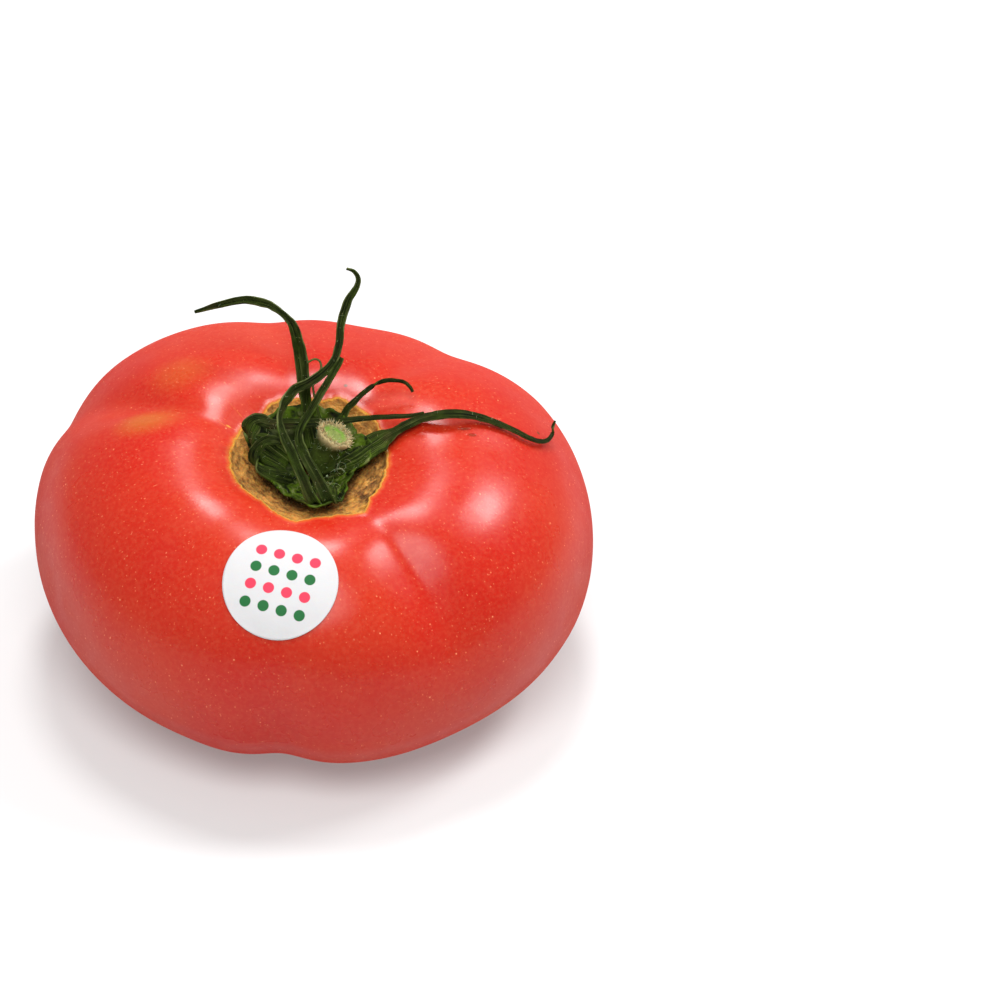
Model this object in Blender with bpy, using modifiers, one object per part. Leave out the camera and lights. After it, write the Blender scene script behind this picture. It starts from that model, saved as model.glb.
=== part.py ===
"""A beefsteak tomato with its dried calyx, its cut stem and a plain round label.

The fruit's own frame has the stem end up, its waist at zero and the side that is seen first at -Y.
Sizes there are millimetres and degrees. MM turns them into metres on the way into each mesh, and one
empty leans the whole tomato forward and stands it on the floor.
"""
from math import atan2, cos, degrees, exp, hypot, pi, radians, sin

import bmesh
import bpy
from mathutils import Matrix, Vector

MM = 0.001

# The fruit as a whole
HALF_WIDTH = 52.5
HEIGHT_ABOVE_WAIST = 33.5
HEIGHT_BELOW_WAIST = 27.5
SHOULDER_ROUNDNESS = 2.3       # exponent of the profile, 2 is an ellipse
BASE_ROUNDNESS = 2.1
STEM_END_SHIFT = -5.0          # how far the stem end stands off the middle, along Y
BLOSSOM_END_SHIFT = 8.0
SHIFT_POWER = 1.5              # how late the shift sets in on the way to an end
CAVITY_DEPTH = 11.0
CAVITY_WIDTH = 17.0
DIMPLE_DEPTH = 1.2
DIMPLE_WIDTH = 14.0

# How far the outline leaves a circle: share of the radius, azimuth, number of bulges
OUTLINE_WAVES = ((0.029, -27.0, 2), (0.015, 14.0, 3), (0.009, 32.0, 1))

# Furrows between the lobes, then three broad hollows and swells:
# azimuth, depth at the shoulder, depth at the waist, half width on either side
FURROWS = (
    (2.0, 0.6, 0.0, 13.0, 10.0),
    (53.0, 2.3, 0.2, 9.0, 7.0),
    (100.0, 2.4, 0.4, 8.0, 9.0),
    (156.0, 3.1, 1.1, 8.0, 7.0),
    (226.0, 1.0, 0.0, 11.0, 12.0),
    (264.0, 0.4, 2.2, 7.0, 7.0),
    (303.0, 3.4, 0.3, 7.0, 10.0),
    (28.0, -1.2, -1.0, 16.0, 16.0),
    (77.0, 1.8, 1.3, 20.0, 20.0),
    (243.0, 0.1, 0.5, 14.0, 12.0),
)
FURROW_SHARPNESS = 1.4
SHOULDER_ANGLE = 42.0          # where the furrows are deepest, from the stem axis
SHOULDER_REACH_IN = 20.0
SHOULDER_REACH_OUT = 30.0
WAIST_FROM, WAIST_TO = 50.0, 95.0
FURROW_RISE = 2.5              # how fast the furrows grow out of either end

# How it rests
LEAN = 12.0                    # the stem end tips toward -Y
FLAT_DEPTH = 1.8               # height of the cap that the resting spot takes off

# Facets
FRUIT_SIDES = 72
FRUIT_RINGS = 40
POLE_CROWDING = 0.09           # draws rings from the waist to the two ends
SAME_POINT = 1e-6              # metres within which two points are one
SAME_POINT_ON_BLADE = 1e-5     # the same, where joined blades cross

# The calyx
STEM_END = (0.0, STEM_END_SHIFT)
BLADE_THICKNESS = 0.7
HUB_CENTRE = (1.2, -5.0)
HUB_RADII = (4.3, 3.7)
HUB_BOTTOM, HUB_TOP = 24.0, 25.4
HUB_SIDES = 24
CUP_INNER_RADIUS = 2.2
CUP_RADIUS = 9.0
CUP_CLEARANCE = 1.0            # from the skin to the middle of the cup's wall
CUP_RISE = 1.3                 # how much further off the skin its edge is
# Lobes of the cup's edge: azimuth, reach, half width
CUP_LOBES = ((62.0, 1.6, 16.0), (112.0, 2.6, 20.0), (158.0, 2.6, 16.0), (235.0, 0.9, 16.0),
             (277.0, 3.6, 22.0), (10.0, 1.4, 18.0))
CUP_WAVE, CUP_WAVES = 0.35, 11
CUP_SIDES, CUP_RINGS = 48, 5

# Sepals: width's direction at the root and at the tip, then the route as
# (x, y, z, width, twist); each lies along a smooth curve through its points
SEPALS = {
    "back": ((1, 0, 0), (0, 0.7, 0.7), (
        (0.5, 0, 24.8, 3.6, 0), (-0.2, 3, 27, 3.4, 0), (-0.9, 6.7, 30, 3.2, 0),
        (-1.2, 8.4, 33, 3, 0), (-1.6, 11.4, 36, 2.8, 0), (-2.3, 13.6, 39, 2.4, 0),
        (-3.2, 15.5, 41.3, 1.6, 0), (-4.9, 17.2, 42.5, 1.1, 0), (-6.9, 18.8, 43, 1.3, 0),
        (-9, 20, 43, 1.5, 0), (-12.5, 21.2, 42.5, 1.4, 0), (-17.2, 21.9, 40.5, 1.1, 0),
        (-21.6, 22.7, 38, 0.8, 0))),
    "front_long": ((1, 0.1, 0), (1, 0, 0), (
        (0.8, -11.5, 25.7, 3.2, 0), (1.4, -15.5, 28.2, 3.2, 0), (0.7, -19.3, 30, 3, 0),
        (-1.3, -15.7, 32.5, 2.4, 0), (-3.3, -10.9, 34.5, 2, 0), (-4.9, -7.8, 36, 1.9, 25),
        (-5.7, -4.5, 37, 1.8, 60), (-4.9, -1.7, 38, 1.8, 40), (-3, 0.7, 39, 1.8, 0),
        (-0.1, 2, 40, 1.7, 0), (2.5, 3.6, 41, 1.6, 0), (4.3, 5.7, 42, 1.4, 0),
        (5.2, 8.7, 43.2, 1.3, 0), (5.6, 11.9, 45, 1.3, 0), (6.3, 14.3, 46.5, 1.5, 0),
        (7.3, 16.2, 48, 1.3, 0), (8.4, 17.6, 49, 1.1, 0), (8.8, 18.9, 50, 1, 0),
        (8, 19.8, 51, 0.9, 0), (6.6, 20, 51.5, 0.8, 0))),
    "front_short": ((1, 0, 0), (1, -0.2, 0), (
        (3.6, -11, 25.8, 3.6, 0), (4, -15.2, 28.2, 3.6, 0), (3.4, -18.8, 30, 3.2, 0),
        (1.2, -15, 32.5, 2.4, 0), (-1.1, -10.9, 34.5, 2, 0), (-2, -7.8, 35.5, 1.8, -20),
        (-1.3, -5.3, 36.5, 1.6, -20), (0.3, -2.4, 37.5, 1.3, 0), (1.9, 0.2, 39, 1.3, 0),
        (3.6, 2.6, 40.5, 1.2, 0), (4.9, 4.7, 41.5, 1.1, 0), (5.7, 5.9, 42.5, 1, 0))),
    "back_thread": ((0, -0.7, 0.7), (0, -0.7, 0.7), (
        (2.4, 1.4, 25.6, 1.2, 0), (1.8, 4.4, 28, 1.2, 0), (0.7, 6.8, 32, 1, 0),
        (0.5, 7.9, 34.5, 0.9, 0), (1.2, 8.5, 35.5, 0.9, 0), (2, 9.3, 36.5, 0.9, 0),
        (1.7, 10.1, 37.5, 0.9, 0), (0.7, 10.1, 38, 0.8, 0), (-0.6, 9.3, 37.8, 0.8, 0))),
    "right_long": ((0, 1, 0), (0, 1, 0.2), (
        (4.8, -4.8, 24.5, 4.2, 0), (8.4, -4.2, 26.9, 7, 0), (11.2, -3.2, 28.5, 5.6, 0),
        (13.4, -1.2, 28.7, 4.2, 0), (15.6, -0.2, 29.5, 2.3, 0), (18, 1, 30.2, 2.1, 0),
        (20.6, 1.9, 30.9, 2, 0), (23.9, 1.8, 31.9, 2, 0), (27.6, 2.3, 31.7, 1.9, 0),
        (31.1, 3.1, 30.1, 1.6, 0), (34.3, 3.2, 28.6, 1.4, 0), (37.6, 2.9, 27, 1.3, 0),
        (40.5, 2.5, 25.4, 1.2, 0), (42.7, 2.9, 23.9, 1.1, 0), (44.5, 4.2, 22.7, 1, 0),
        (45.7, 6.5, 22.2, 0.9, 0), (45.8, 7.6, 22.9, 0.9, 0), (46.3, 8.7, 23.4, 0.8, 0))),
    "left_folded": ((0, 1, 0.3), (0, 0.8, 0.5), (
        (-4.2, -4.2, 24.5, 5, 0), (-8.2, -3.4, 27.6, 6, 0), (-10.8, -3, 30.2, 4.6, 20),
        (-10.6, -1.3, 32.5, 3.4, 45), (-9.2, -0.8, 33, 2.4, 30), (-7, -0.8, 32, 2, 0),
        (-3.7, 0.2, 31, 1.9, 0), (-0.1, 1.2, 30.2, 1.7, 0), (3.6, 1.9, 29.9, 1.3, 0),
        (7.3, 2, 30.2, 1.1, 0), (11, 1.8, 31, 1, 0), (14.7, 2.1, 31, 0.9, 0),
        (18.3, 1.3, 32.1, 0.9, 0), (20.9, 1.2, 33, 0.8, 0))),
    "right_curl": ((1, -0.3, 0), (0.3, 0.6, 0.7), (
        (4.6, 0.4, 25.4, 2.6, 0), (5.6, 3.2, 27.4, 2, 0), (6.6, 5.5, 29.1, 1.3, 0),
        (8.1, 6.6, 30.4, 1.2, 0), (10, 7.7, 31.9, 1, 0), (11.8, 8.4, 33, 0.9, 0),
        (13.7, 8.9, 33.7, 0.9, 0), (15.7, 8.9, 33.8, 0.8, 0), (17.4, 8.9, 33.4, 0.8, 0),
        (18.5, 8.2, 32.8, 0.8, 0), (19, 7.7, 32, 0.8, 0))),
    "left_short": ((0.3, -1, 0), (0, -0.67, -0.74), (
        (-3.6, -7.2, 24.5, 4, 0), (-6.8, -9.2, 27.4, 3.6, 0), (-9.7, -9.4, 29.5, 3, 20),
        (-10.1, -8, 31.5, 2.4, 30), (-8.7, -6.5, 32.8, 1.9, 10), (-7.1, -5.9, 33, 1.8, 0),
        (-5.3, -5.6, 32.2, 1.5, 0))),
}
SEPAL_ROWS_PER_SPAN = 2
SEPAL_FOLD = 0.12              # depth of the fold along the middle, as a share of the width
SEPAL_STEP = 0.01              # share of the route over which its direction is taken

# The stem: middle line in its own X and Z, and radius; it starts upright, so its foot is level
STEM_GAP = 0.35
STEM_FOOT = (2.0, -5.0, HUB_TOP + STEM_GAP)
STEM_LINE = ((0.0, 0.0, 2.65), (0.0, 0.8, 2.55), (0.4, 2.4, 2.45), (1.15, 4.4, 2.4),
             (1.85, 5.9, 2.75), (2.45, 6.9, 3.3), (2.7, 7.3, 3.3))
STEM_TURN = 18.0               # which way it leans, from +X toward +Y

# The label
LABEL_RADIUS = 10.2
LABEL_TILT, LABEL_AZIMUTH = 35.7, 260.6
LABEL_GAP = 0.4
LABEL_THICKNESS = 0.3
LABEL_CELLS = 12
LABEL_STAND_OFF = 5.0          # where it starts, before it is laid on the skin
LABEL_STEP = 3.0               # degrees over which the skin's slope under it is taken

SKIN_RED = (0.60, 0.036, 0.019, 1.0)
SEPAL_GREEN = (0.018, 0.050, 0.012, 1.0)
STEM_GREEN = (0.16, 0.19, 0.055, 1.0)
LABEL_WHITE = (0.86, 0.86, 0.86, 1.0)
SKIN_ROUGHNESS = 0.32
SEPAL_ROUGHNESS = 0.7
STEM_ROUGHNESS = 0.8
LABEL_ROUGHNESS = 0.45


def clear_scene():
    for old in list(bpy.data.objects):
        bpy.data.objects.remove(old, do_unlink=True)


def material(name, colour, roughness):
    mat = bpy.data.materials.new(name)
    mat.use_nodes = True
    shader = mat.node_tree.nodes["Principled BSDF"]
    shader.inputs["Base Color"].default_value = colour
    shader.inputs["Roughness"].default_value = roughness
    shader.inputs["Metallic"].default_value = 0.0
    return mat


def mesh_object(name, bm, collection, mat=None):
    bmesh.ops.recalc_face_normals(bm, faces=bm.faces)
    mesh = bpy.data.meshes.new(name)
    bm.to_mesh(mesh)
    bm.free()
    mesh.shade_smooth()
    obj = bpy.data.objects.new(name, mesh)
    collection.objects.link(obj)
    if mat:
        mesh.materials.append(mat)
    return obj


def turned_apart(azimuth, other):
    """The angle from one azimuth to another, between -180 and 180."""
    return (azimuth - other + 180.0) % 360.0 - 180.0


def furrow_depth(tilt, azimuth):
    """How far the furrows draw the skin in, at a tilt from the stem axis."""
    reach = SHOULDER_REACH_IN if tilt < SHOULDER_ANGLE else SHOULDER_REACH_OUT
    at_shoulder = exp(-((tilt - SHOULDER_ANGLE) / reach) ** 2)
    way = min(max((tilt - WAIST_FROM) / (WAIST_TO - WAIST_FROM), 0.0), 1.0)
    at_waist = way * way * (3.0 - 2.0 * way)
    depth = 0.0
    for middle, shoulder, waist, before, after in FURROWS:
        off = turned_apart(azimuth, middle)
        width = before if off < 0 else after
        across = exp(-(abs(off) / width) ** FURROW_SHARPNESS)
        depth += (shoulder * at_shoulder + waist * at_waist) * across
    return depth * min(sin(radians(tilt)) * FURROW_RISE, 1.0)


def skin(tilt, azimuth):
    """The point of the skin at a tilt from the stem axis and an azimuth about it."""
    above = tilt < 90.0
    height = HEIGHT_ABOVE_WAIST if above else HEIGHT_BELOW_WAIST
    power = 2.0 / (SHOULDER_ROUNDNESS if above else BASE_ROUNDNESS)
    side = 1.0 if above else -1.0
    rise = abs(cos(radians(tilt)))
    radius = HALF_WIDTH * sin(radians(tilt)) ** power
    level = side * height * rise ** power
    drawn_in = 1.0 - furrow_depth(tilt, azimuth) / hypot(radius, level)
    outline = 1.0 + sum(share * cos(count * radians(azimuth - middle))
                        for share, middle, count in OUTLINE_WAVES)
    level *= drawn_in
    if above:
        level -= CAVITY_DEPTH * exp(-(radius / CAVITY_WIDTH) ** 2)
    else:
        level += DIMPLE_DEPTH * exp(-(radius / DIMPLE_WIDTH) ** 2)
    shift = (STEM_END_SHIFT if above else BLOSSOM_END_SHIFT) * rise ** SHIFT_POWER
    radius *= outline * drawn_in
    return Vector((radius * cos(radians(azimuth)), radius * sin(radians(azimuth)) + shift, level))


def cavity_level(radius):
    """Height of the skin near the stem end, where the furrows have run out."""
    crown = HEIGHT_ABOVE_WAIST * (1.0 - (radius / HALF_WIDTH) ** SHOULDER_ROUNDNESS) \
        ** (1.0 / SHOULDER_ROUNDNESS)
    return crown - CAVITY_DEPTH * exp(-(radius / CAVITY_WIDTH) ** 2)


def make_fruit(collection, lean):
    """One solid: a sphere drawn out to the lobed skin, with a flat spot to rest on."""
    bm = bmesh.new()
    bmesh.ops.create_uvsphere(bm, u_segments=FRUIT_SIDES, v_segments=FRUIT_RINGS, radius=1.0)
    for vert in bm.verts:
        even = vert.co.angle(Vector((0, 0, 1))) / pi
        tilt = 180.0 * (even - POLE_CROWDING * sin(2.0 * pi * even))
        azimuth = degrees(atan2(vert.co.y, vert.co.x))
        vert.co = skin(min(max(tilt, 0.0), 180.0), azimuth) * MM
    down = lean.to_3x3().transposed() @ Vector((0, 0, -1))
    lowest = max(vert.co.dot(down) for vert in bm.verts)
    cut = bmesh.ops.bisect_plane(bm, geom=bm.verts[:] + bm.edges[:] + bm.faces[:], dist=SAME_POINT,
                                 plane_co=down * (lowest - FLAT_DEPTH * MM), plane_no=down,
                                 clear_outer=True)
    edges = [item for item in cut["geom_cut"] if isinstance(item, bmesh.types.BMEdge)]
    bmesh.ops.edgeloop_fill(bm, edges=edges)
    return mesh_object("fruit", bm, collection, material("tomato_skin", SKIN_RED, SKIN_ROUGHNESS))


def cup_reach(azimuth):
    """Radius of the calyx's edge, which is lobed where the sepals grow out of it."""
    reach = CUP_RADIUS + CUP_WAVE * sin(CUP_WAVES * radians(azimuth))
    for middle, more, width in CUP_LOBES:
        reach += more * exp(-(turned_apart(azimuth, middle) / width) ** 2)
    return reach


def make_cup(collection):
    """The joined feet of the sepals: a shallow bowl that keeps clear of the skin below it."""
    bm = bmesh.new()
    bmesh.ops.create_grid(bm, x_segments=CUP_SIDES, y_segments=CUP_RINGS, size=1.0)
    for vert in bm.verts:
        azimuth = 180.0 * (vert.co.x + 1.0)
        way = (vert.co.y + 1.0) / 2.0
        radius = CUP_INNER_RADIUS + (cup_reach(azimuth) - CUP_INNER_RADIUS) * way
        level = cavity_level(radius) + CUP_CLEARANCE + CUP_RISE * way * way
        vert.co = Vector((STEM_END[0] + radius * cos(radians(azimuth)),
                          STEM_END[1] + radius * sin(radians(azimuth)), level)) * MM
    bmesh.ops.remove_doubles(bm, verts=bm.verts, dist=SAME_POINT)
    return sheet_to_blade("cup", bm, collection)


def sheet_to_blade(name, bm, collection):
    """Triangles first, so that both faces of the finished blade are split alike."""
    bmesh.ops.triangulate(bm, faces=bm.faces)
    obj = mesh_object(name, bm, collection)
    wall = obj.modifiers.new("thickness", "SOLIDIFY")
    wall.thickness = BLADE_THICKNESS * MM
    wall.offset = 0.0
    return obj


def curve_through(points, way):
    """A smooth curve through points of any length of tuple, with way from 0 to 1."""
    place = way * (len(points) - 1)
    index = min(int(place), len(points) - 2)
    t = place - index
    before = points[max(index - 1, 0)]
    start = points[index]
    end = points[index + 1]
    after = points[min(index + 2, len(points) - 1)]
    return [0.5 * (2 * b + (c - a) * t + (2 * a - 5 * b + 4 * c - d) * t * t
                   + (3 * b - a - 3 * c + d) * t ** 3)
            for a, b, c, d in zip(before, start, end, after)]


def make_sepal(name, collection):
    """A tapering strip along its route, folded a little down the middle."""
    side_at_root, side_at_tip, route = SEPALS[name]
    rows = SEPAL_ROWS_PER_SPAN * (len(route) - 1)
    bm = bmesh.new()
    bmesh.ops.create_grid(bm, x_segments=2, y_segments=rows, size=1.0)
    for vert in bm.verts:
        across = vert.co.x
        way = (vert.co.y + 1.0) / 2.0
        x, y, z, width, twist = curve_through(route, way)
        ahead = Vector(curve_through(route, min(way + SEPAL_STEP, 1.0))[:3])
        behind = Vector(curve_through(route, max(way - SEPAL_STEP, 0.0))[:3])
        along = (ahead - behind).normalized()
        side = Vector(side_at_root).lerp(Vector(side_at_tip), way)
        side = (side - side.dot(along) * along).normalized()
        side.rotate(Matrix.Rotation(radians(twist), 3, along))
        face = side.cross(along)
        fold = (abs(across) - 0.5) * SEPAL_FOLD * width
        vert.co = (Vector((x, y, z)) + side * across * width / 2.0 + face * fold) * MM
    return sheet_to_blade(name, bm, collection)


def keep_largest_body(bm):
    """Fills the small hollows that crossing blades shut in, by dropping their walls."""
    left = set(bm.verts)
    bodies = []
    while left:
        body, edge_of_body = set(), {left.pop()}
        while edge_of_body:
            body |= edge_of_body
            edge_of_body = {edge.other_vert(vert) for vert in edge_of_body
                            for edge in vert.link_edges} - body
        left -= body
        bodies.append(body)
    bodies.sort(key=len)
    dropped = [vert for body in bodies[:-1] for vert in body]
    bmesh.ops.delete(bm, geom=dropped, context="VERTS")


def make_calyx(collection):
    """Hub, cup and sepals joined into one body."""
    loose = bpy.data.collections.new("sepals_to_join")
    bpy.context.scene.collection.children.link(loose)
    make_cup(loose)
    for name in SEPALS:
        make_sepal(name, loose)

    bm = bmesh.new()
    middle = Vector((*HUB_CENTRE, (HUB_BOTTOM + HUB_TOP) / 2.0)) * MM
    bmesh.ops.create_cone(bm, cap_ends=True, segments=HUB_SIDES, radius1=HUB_RADII[0] * MM,
                          radius2=HUB_RADII[1] * MM, depth=(HUB_TOP - HUB_BOTTOM) * MM,
                          matrix=Matrix.Translation(middle))
    hub = mesh_object("hub", bm, collection)
    join = hub.modifiers.new("join", "BOOLEAN")
    join.operation = "UNION"
    join.operand_type = "COLLECTION"
    join.collection = loose
    join.solver = "EXACT"

    view = bpy.context.evaluated_depsgraph_get()
    mesh = bpy.data.meshes.new_from_object(hub.evaluated_get(view))
    for obj in list(loose.objects) + [hub]:
        bpy.data.objects.remove(obj, do_unlink=True)
    bpy.data.collections.remove(loose)
    bm = bmesh.new()
    bm.from_mesh(mesh)
    bpy.data.meshes.remove(mesh)
    bmesh.ops.remove_doubles(bm, verts=bm.verts, dist=SAME_POINT_ON_BLADE)
    bmesh.ops.triangulate(bm, faces=bm.faces)
    keep_largest_body(bm)
    return mesh_object("calyx", bm, collection, material("dried_sepal", SEPAL_GREEN, SEPAL_ROUGHNESS))


def make_stem(collection):
    """A stub that swells toward its cut end, as a curve with a radius at each point."""
    line = bpy.data.curves.new("stem", "CURVE")
    line.dimensions = "3D"
    line.bevel_depth = MM
    line.bevel_resolution = 4
    line.use_fill_caps = True
    spline = line.splines.new("POLY")
    spline.points.add(len(STEM_LINE) - 1)
    for point, (x, z, radius) in zip(spline.points, STEM_LINE):
        point.co = (x * MM, 0.0, z * MM, 1.0)
        point.radius = radius
    line.materials.append(material("cut_stem", STEM_GREEN, STEM_ROUGHNESS))
    stem = bpy.data.objects.new("stem", line)
    collection.objects.link(stem)
    stem.location = Vector(STEM_FOOT) * MM
    stem.rotation_euler.z = radians(STEM_TURN)
    return stem


def make_label(collection, fruit):
    """A thin disc laid on the skin, with a hair's gap under it."""
    bm = bmesh.new()
    bmesh.ops.create_grid(bm, x_segments=LABEL_CELLS, y_segments=LABEL_CELLS, size=1.0)
    for vert in bm.verts:
        x, y = vert.co.xy
        vert.co = Vector((x * (1 - y * y / 2) ** 0.5, y * (1 - x * x / 2) ** 0.5, 0)) \
            * LABEL_RADIUS * MM
    bmesh.ops.triangulate(bm, faces=bm.faces)
    label = mesh_object("label", bm, collection, material("label_paper", LABEL_WHITE, LABEL_ROUGHNESS))

    place = skin(LABEL_TILT, LABEL_AZIMUTH)
    down = skin(LABEL_TILT + LABEL_STEP, LABEL_AZIMUTH) - skin(LABEL_TILT - LABEL_STEP, LABEL_AZIMUTH)
    across = skin(LABEL_TILT, LABEL_AZIMUTH + LABEL_STEP) - skin(LABEL_TILT, LABEL_AZIMUTH - LABEL_STEP)
    out = down.cross(across).normalized()
    label.location = (place + out * LABEL_STAND_OFF) * MM
    label.rotation_euler = out.to_track_quat("Z", "Y").to_euler()

    lay = label.modifiers.new("lay_on_skin", "SHRINKWRAP")
    lay.target = fruit
    lay.wrap_method = "PROJECT"
    lay.wrap_mode = "ABOVE_SURFACE"
    lay.use_project_z = True
    lay.use_negative_direction = True
    lay.use_positive_direction = False
    lay.offset = LABEL_GAP * MM
    paper = label.modifiers.new("thickness", "SOLIDIFY")
    paper.thickness = LABEL_THICKNESS * MM
    paper.offset = 1.0
    return label


def world_box(parts):
    """Lowest and highest corners of the evaluated parts."""
    view = bpy.context.evaluated_depsgraph_get()
    corners = []
    for obj in parts:
        shape = obj.evaluated_get(view)
        mesh = shape.to_mesh()
        corners += [shape.matrix_world @ vert.co for vert in mesh.vertices]
        shape.to_mesh_clear()
    low = Vector(min(corner[axis] for corner in corners) for axis in range(3))
    high = Vector(max(corner[axis] for corner in corners) for axis in range(3))
    return low, high


def main():
    clear_scene()
    tomato = bpy.data.collections.new("beefsteak_tomato")
    bpy.context.scene.collection.children.link(tomato)
    axis = bpy.data.objects.new("stem_axis", None)
    tomato.objects.link(axis)
    lean = Matrix.Rotation(radians(LEAN), 4, "X")
    axis.rotation_euler = lean.to_euler()

    fruit = make_fruit(tomato, lean)
    fruit.parent = axis
    parts = [fruit, make_calyx(tomato), make_stem(tomato), make_label(tomato, fruit)]
    for part in parts:
        part.parent = axis
    bpy.context.view_layer.update()
    low, high = world_box(parts)
    axis.location = (-(low.x + high.x) / 2.0, -(low.y + high.y) / 2.0, -low.z)
    bpy.context.view_layer.update()


main()
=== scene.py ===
"""A beefsteak tomato: its lobed skin and corky scar, dried calyx, cut stem and plain round label.

The fruit's own frame has the stem end up, its waist at zero and the side that is seen first at -Y.
Sizes in it are millimetres and degrees. Every piece is shaped there, then leaned forward and stood
on the floor in one step, in metres.
"""
import random
from math import asin, atan2, cos, degrees, exp, hypot, pi, radians, sin

import bmesh
import bpy
from bpy.props import FloatProperty, FloatVectorProperty, IntProperty, PointerProperty
from mathutils import Matrix, Vector, noise
from mathutils.bvhtree import BVHTree


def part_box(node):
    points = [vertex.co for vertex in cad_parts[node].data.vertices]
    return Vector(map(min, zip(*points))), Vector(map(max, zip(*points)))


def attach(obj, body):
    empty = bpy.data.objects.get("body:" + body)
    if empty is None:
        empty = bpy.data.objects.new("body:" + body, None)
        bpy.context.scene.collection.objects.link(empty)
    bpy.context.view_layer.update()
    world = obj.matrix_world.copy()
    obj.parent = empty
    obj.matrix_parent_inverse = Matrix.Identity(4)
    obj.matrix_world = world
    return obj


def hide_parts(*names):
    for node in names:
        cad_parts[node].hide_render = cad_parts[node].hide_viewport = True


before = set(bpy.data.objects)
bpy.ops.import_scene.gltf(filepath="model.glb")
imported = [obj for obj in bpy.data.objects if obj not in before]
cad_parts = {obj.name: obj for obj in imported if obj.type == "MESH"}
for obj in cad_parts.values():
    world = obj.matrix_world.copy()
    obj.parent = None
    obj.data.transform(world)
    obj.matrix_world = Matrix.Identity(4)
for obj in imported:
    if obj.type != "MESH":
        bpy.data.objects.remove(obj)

bl_info = {
    "name": "Beefsteak tomato",
    "version": (1, 0, 0),
    "blender": (4, 5, 0),
    "location": "View3D > Sidebar > Tomato",
    "description": "Models a beefsteak tomato with its scar, calyx, cut stem and label",
    "category": "Object",
}

MM = 0.001

# Exponents of the fruit's profile, 2 is an ellipse
SHOULDER_ROUNDNESS = 2.3
BASE_ROUNDNESS = 2.1
SHIFT_POWER = 1.5              # how late the ends' shift sets in on the way to them
CAVITY_WIDTH = 17.0
DIMPLE_DEPTH = 1.2
DIMPLE_WIDTH = 14.0
FLAT_DEPTH = 1.8               # height of the cap that the resting spot takes off

# How far the outline leaves a circle: share of the radius, azimuth, number of bulges
OUTLINE_WAVES = ((0.029, -27.0, 2), (0.015, 14.0, 3), (0.009, 32.0, 1))

# Furrows between the lobes, then three broad hollows and swells:
# azimuth, depth at the shoulder, depth at the waist, half width on either side
FURROWS = (
    (2.0, 0.6, 0.0, 13.0, 10.0),
    (53.0, 2.3, 0.2, 9.0, 7.0),
    (100.0, 2.4, 0.4, 8.0, 9.0),
    (156.0, 3.1, 1.1, 8.0, 7.0),
    (226.0, 1.0, 0.0, 11.0, 12.0),
    (264.0, 0.4, 2.2, 7.0, 7.0),
    (303.0, 3.2, 0.3, 12.0, 10.0),
    (28.0, -1.2, -1.0, 16.0, 16.0),
    (77.0, 1.8, 1.3, 20.0, 20.0),
    (243.0, 0.1, 0.5, 14.0, 12.0),
)
FURROW_SHARPNESS = 1.4
FURROW_SOFTNESS = 4.0          # degrees over which the furrow's bottom is rounded
FURROW_RISE = 2.5              # how fast the furrows grow out of either end
SHOULDER_ANGLE = 42.0
SHOULDER_REACH_IN = 20.0
SHOULDER_REACH_OUT = 30.0
WAIST_FROM, WAIST_TO = 50.0, 95.0

# Mesh of the skin: rings crowd round the scar, whose relief is fine
SKIN_SIDES, SKIN_RINGS = 360, 256
SCAR_SHARE, SCAR_TILT = 0.28, 21.0
SWELL_SIZE, SWELL_HEIGHT = 11.0, 0.10

# The corky scar round the calyx: azimuth and radius of its outer edge
SCAR_EDGE = ((6, 14.0), (32, 14.8), (49, 15.2), (70, 16.0), (81, 14.7), (111, 15.6), (130, 14.4),
             (170, 14.7), (212, 14.7), (231, 13.9), (262, 17.3), (273, 15.5), (288, 15.7),
             (304, 17.7), (316, 14.9))
SCAR_LIP, SCAR_LIP_WIDTH = 0.22, 0.9
SCAR_DROP, SCAR_DROP_WIDTH = 0.45, 0.8
SCAR_EDGE_WAVES = ((0.45, 7.0, 0.0), (0.22, 21.0, 1.0))     # height, how many, layer of noise
SCAR_RIDGE = 0.42
RIDGES_ROUND, RIDGES_OUTWARD = 9.0, 1.5
RIDGE_OCTAVES = ((1.0, 1.0), (0.6, 2.1), (0.4, 4.3))        # height, how much finer
SWELL_FROM_SCAR = 6.0
BLOSSOM_RELIEF = -0.4          # the blossom scar's relief as a share of the stem scar's
BLOSSOM_SCAR_RADIUS = 2.2
# Where the cork is more cracked, or less with a minus: tilt, azimuth, reach, amount
CORK_WEAR = ((11.8, 322.0, 5.5, 0.14), (12.0, 352.0, 4.5, 0.11), (14.0, 268.0, 6.0, -0.08),
             (12.5, 75.0, 6.0, -0.09))

# Small marks of the skin, each from one tilt and azimuth to another: pale scratches, then grooves
SCRATCHES = (((19.2, 140.0), (12.5, 143.0)), ((20.2, 154.0), (14.5, 155.5)),
             ((16.0, 154.0), (14.5, 154.0)))
GROOVES = (((27.0, 10.0), (31.3, 10.0)), ((29.2, 7.0), (32.3, 7.0)))
DARK_SPOTS = ((38.8, 11.0), (51.8, 12.0), (18.5, 69.0))
SCRATCH_WIDTH, GROOVE_WIDTH, SPOT_RADIUS = 0.22, 0.45, 0.50

# The skin is rougher where it turns away: from which share on, and by how much
EDGE_FROM, EDGE_ROUGHNESS = 0.40, 0.50

# Sizes of the skin's noises and heights of its bumps, in metres
SHADES, MOTTLE, GLOSS_PATCHES, PORES, WAVES = 0.026, 0.0007, 0.005, 0.00055, 0.0036
FLAKES, RIM_GRAIN = 0.0016, 0.0006
PORE_HEIGHT, WAVE_HEIGHT, DENT_DEPTH, CORK_HEIGHT = 0.000008, 0.00003, 0.0003, 0.0014

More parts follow.
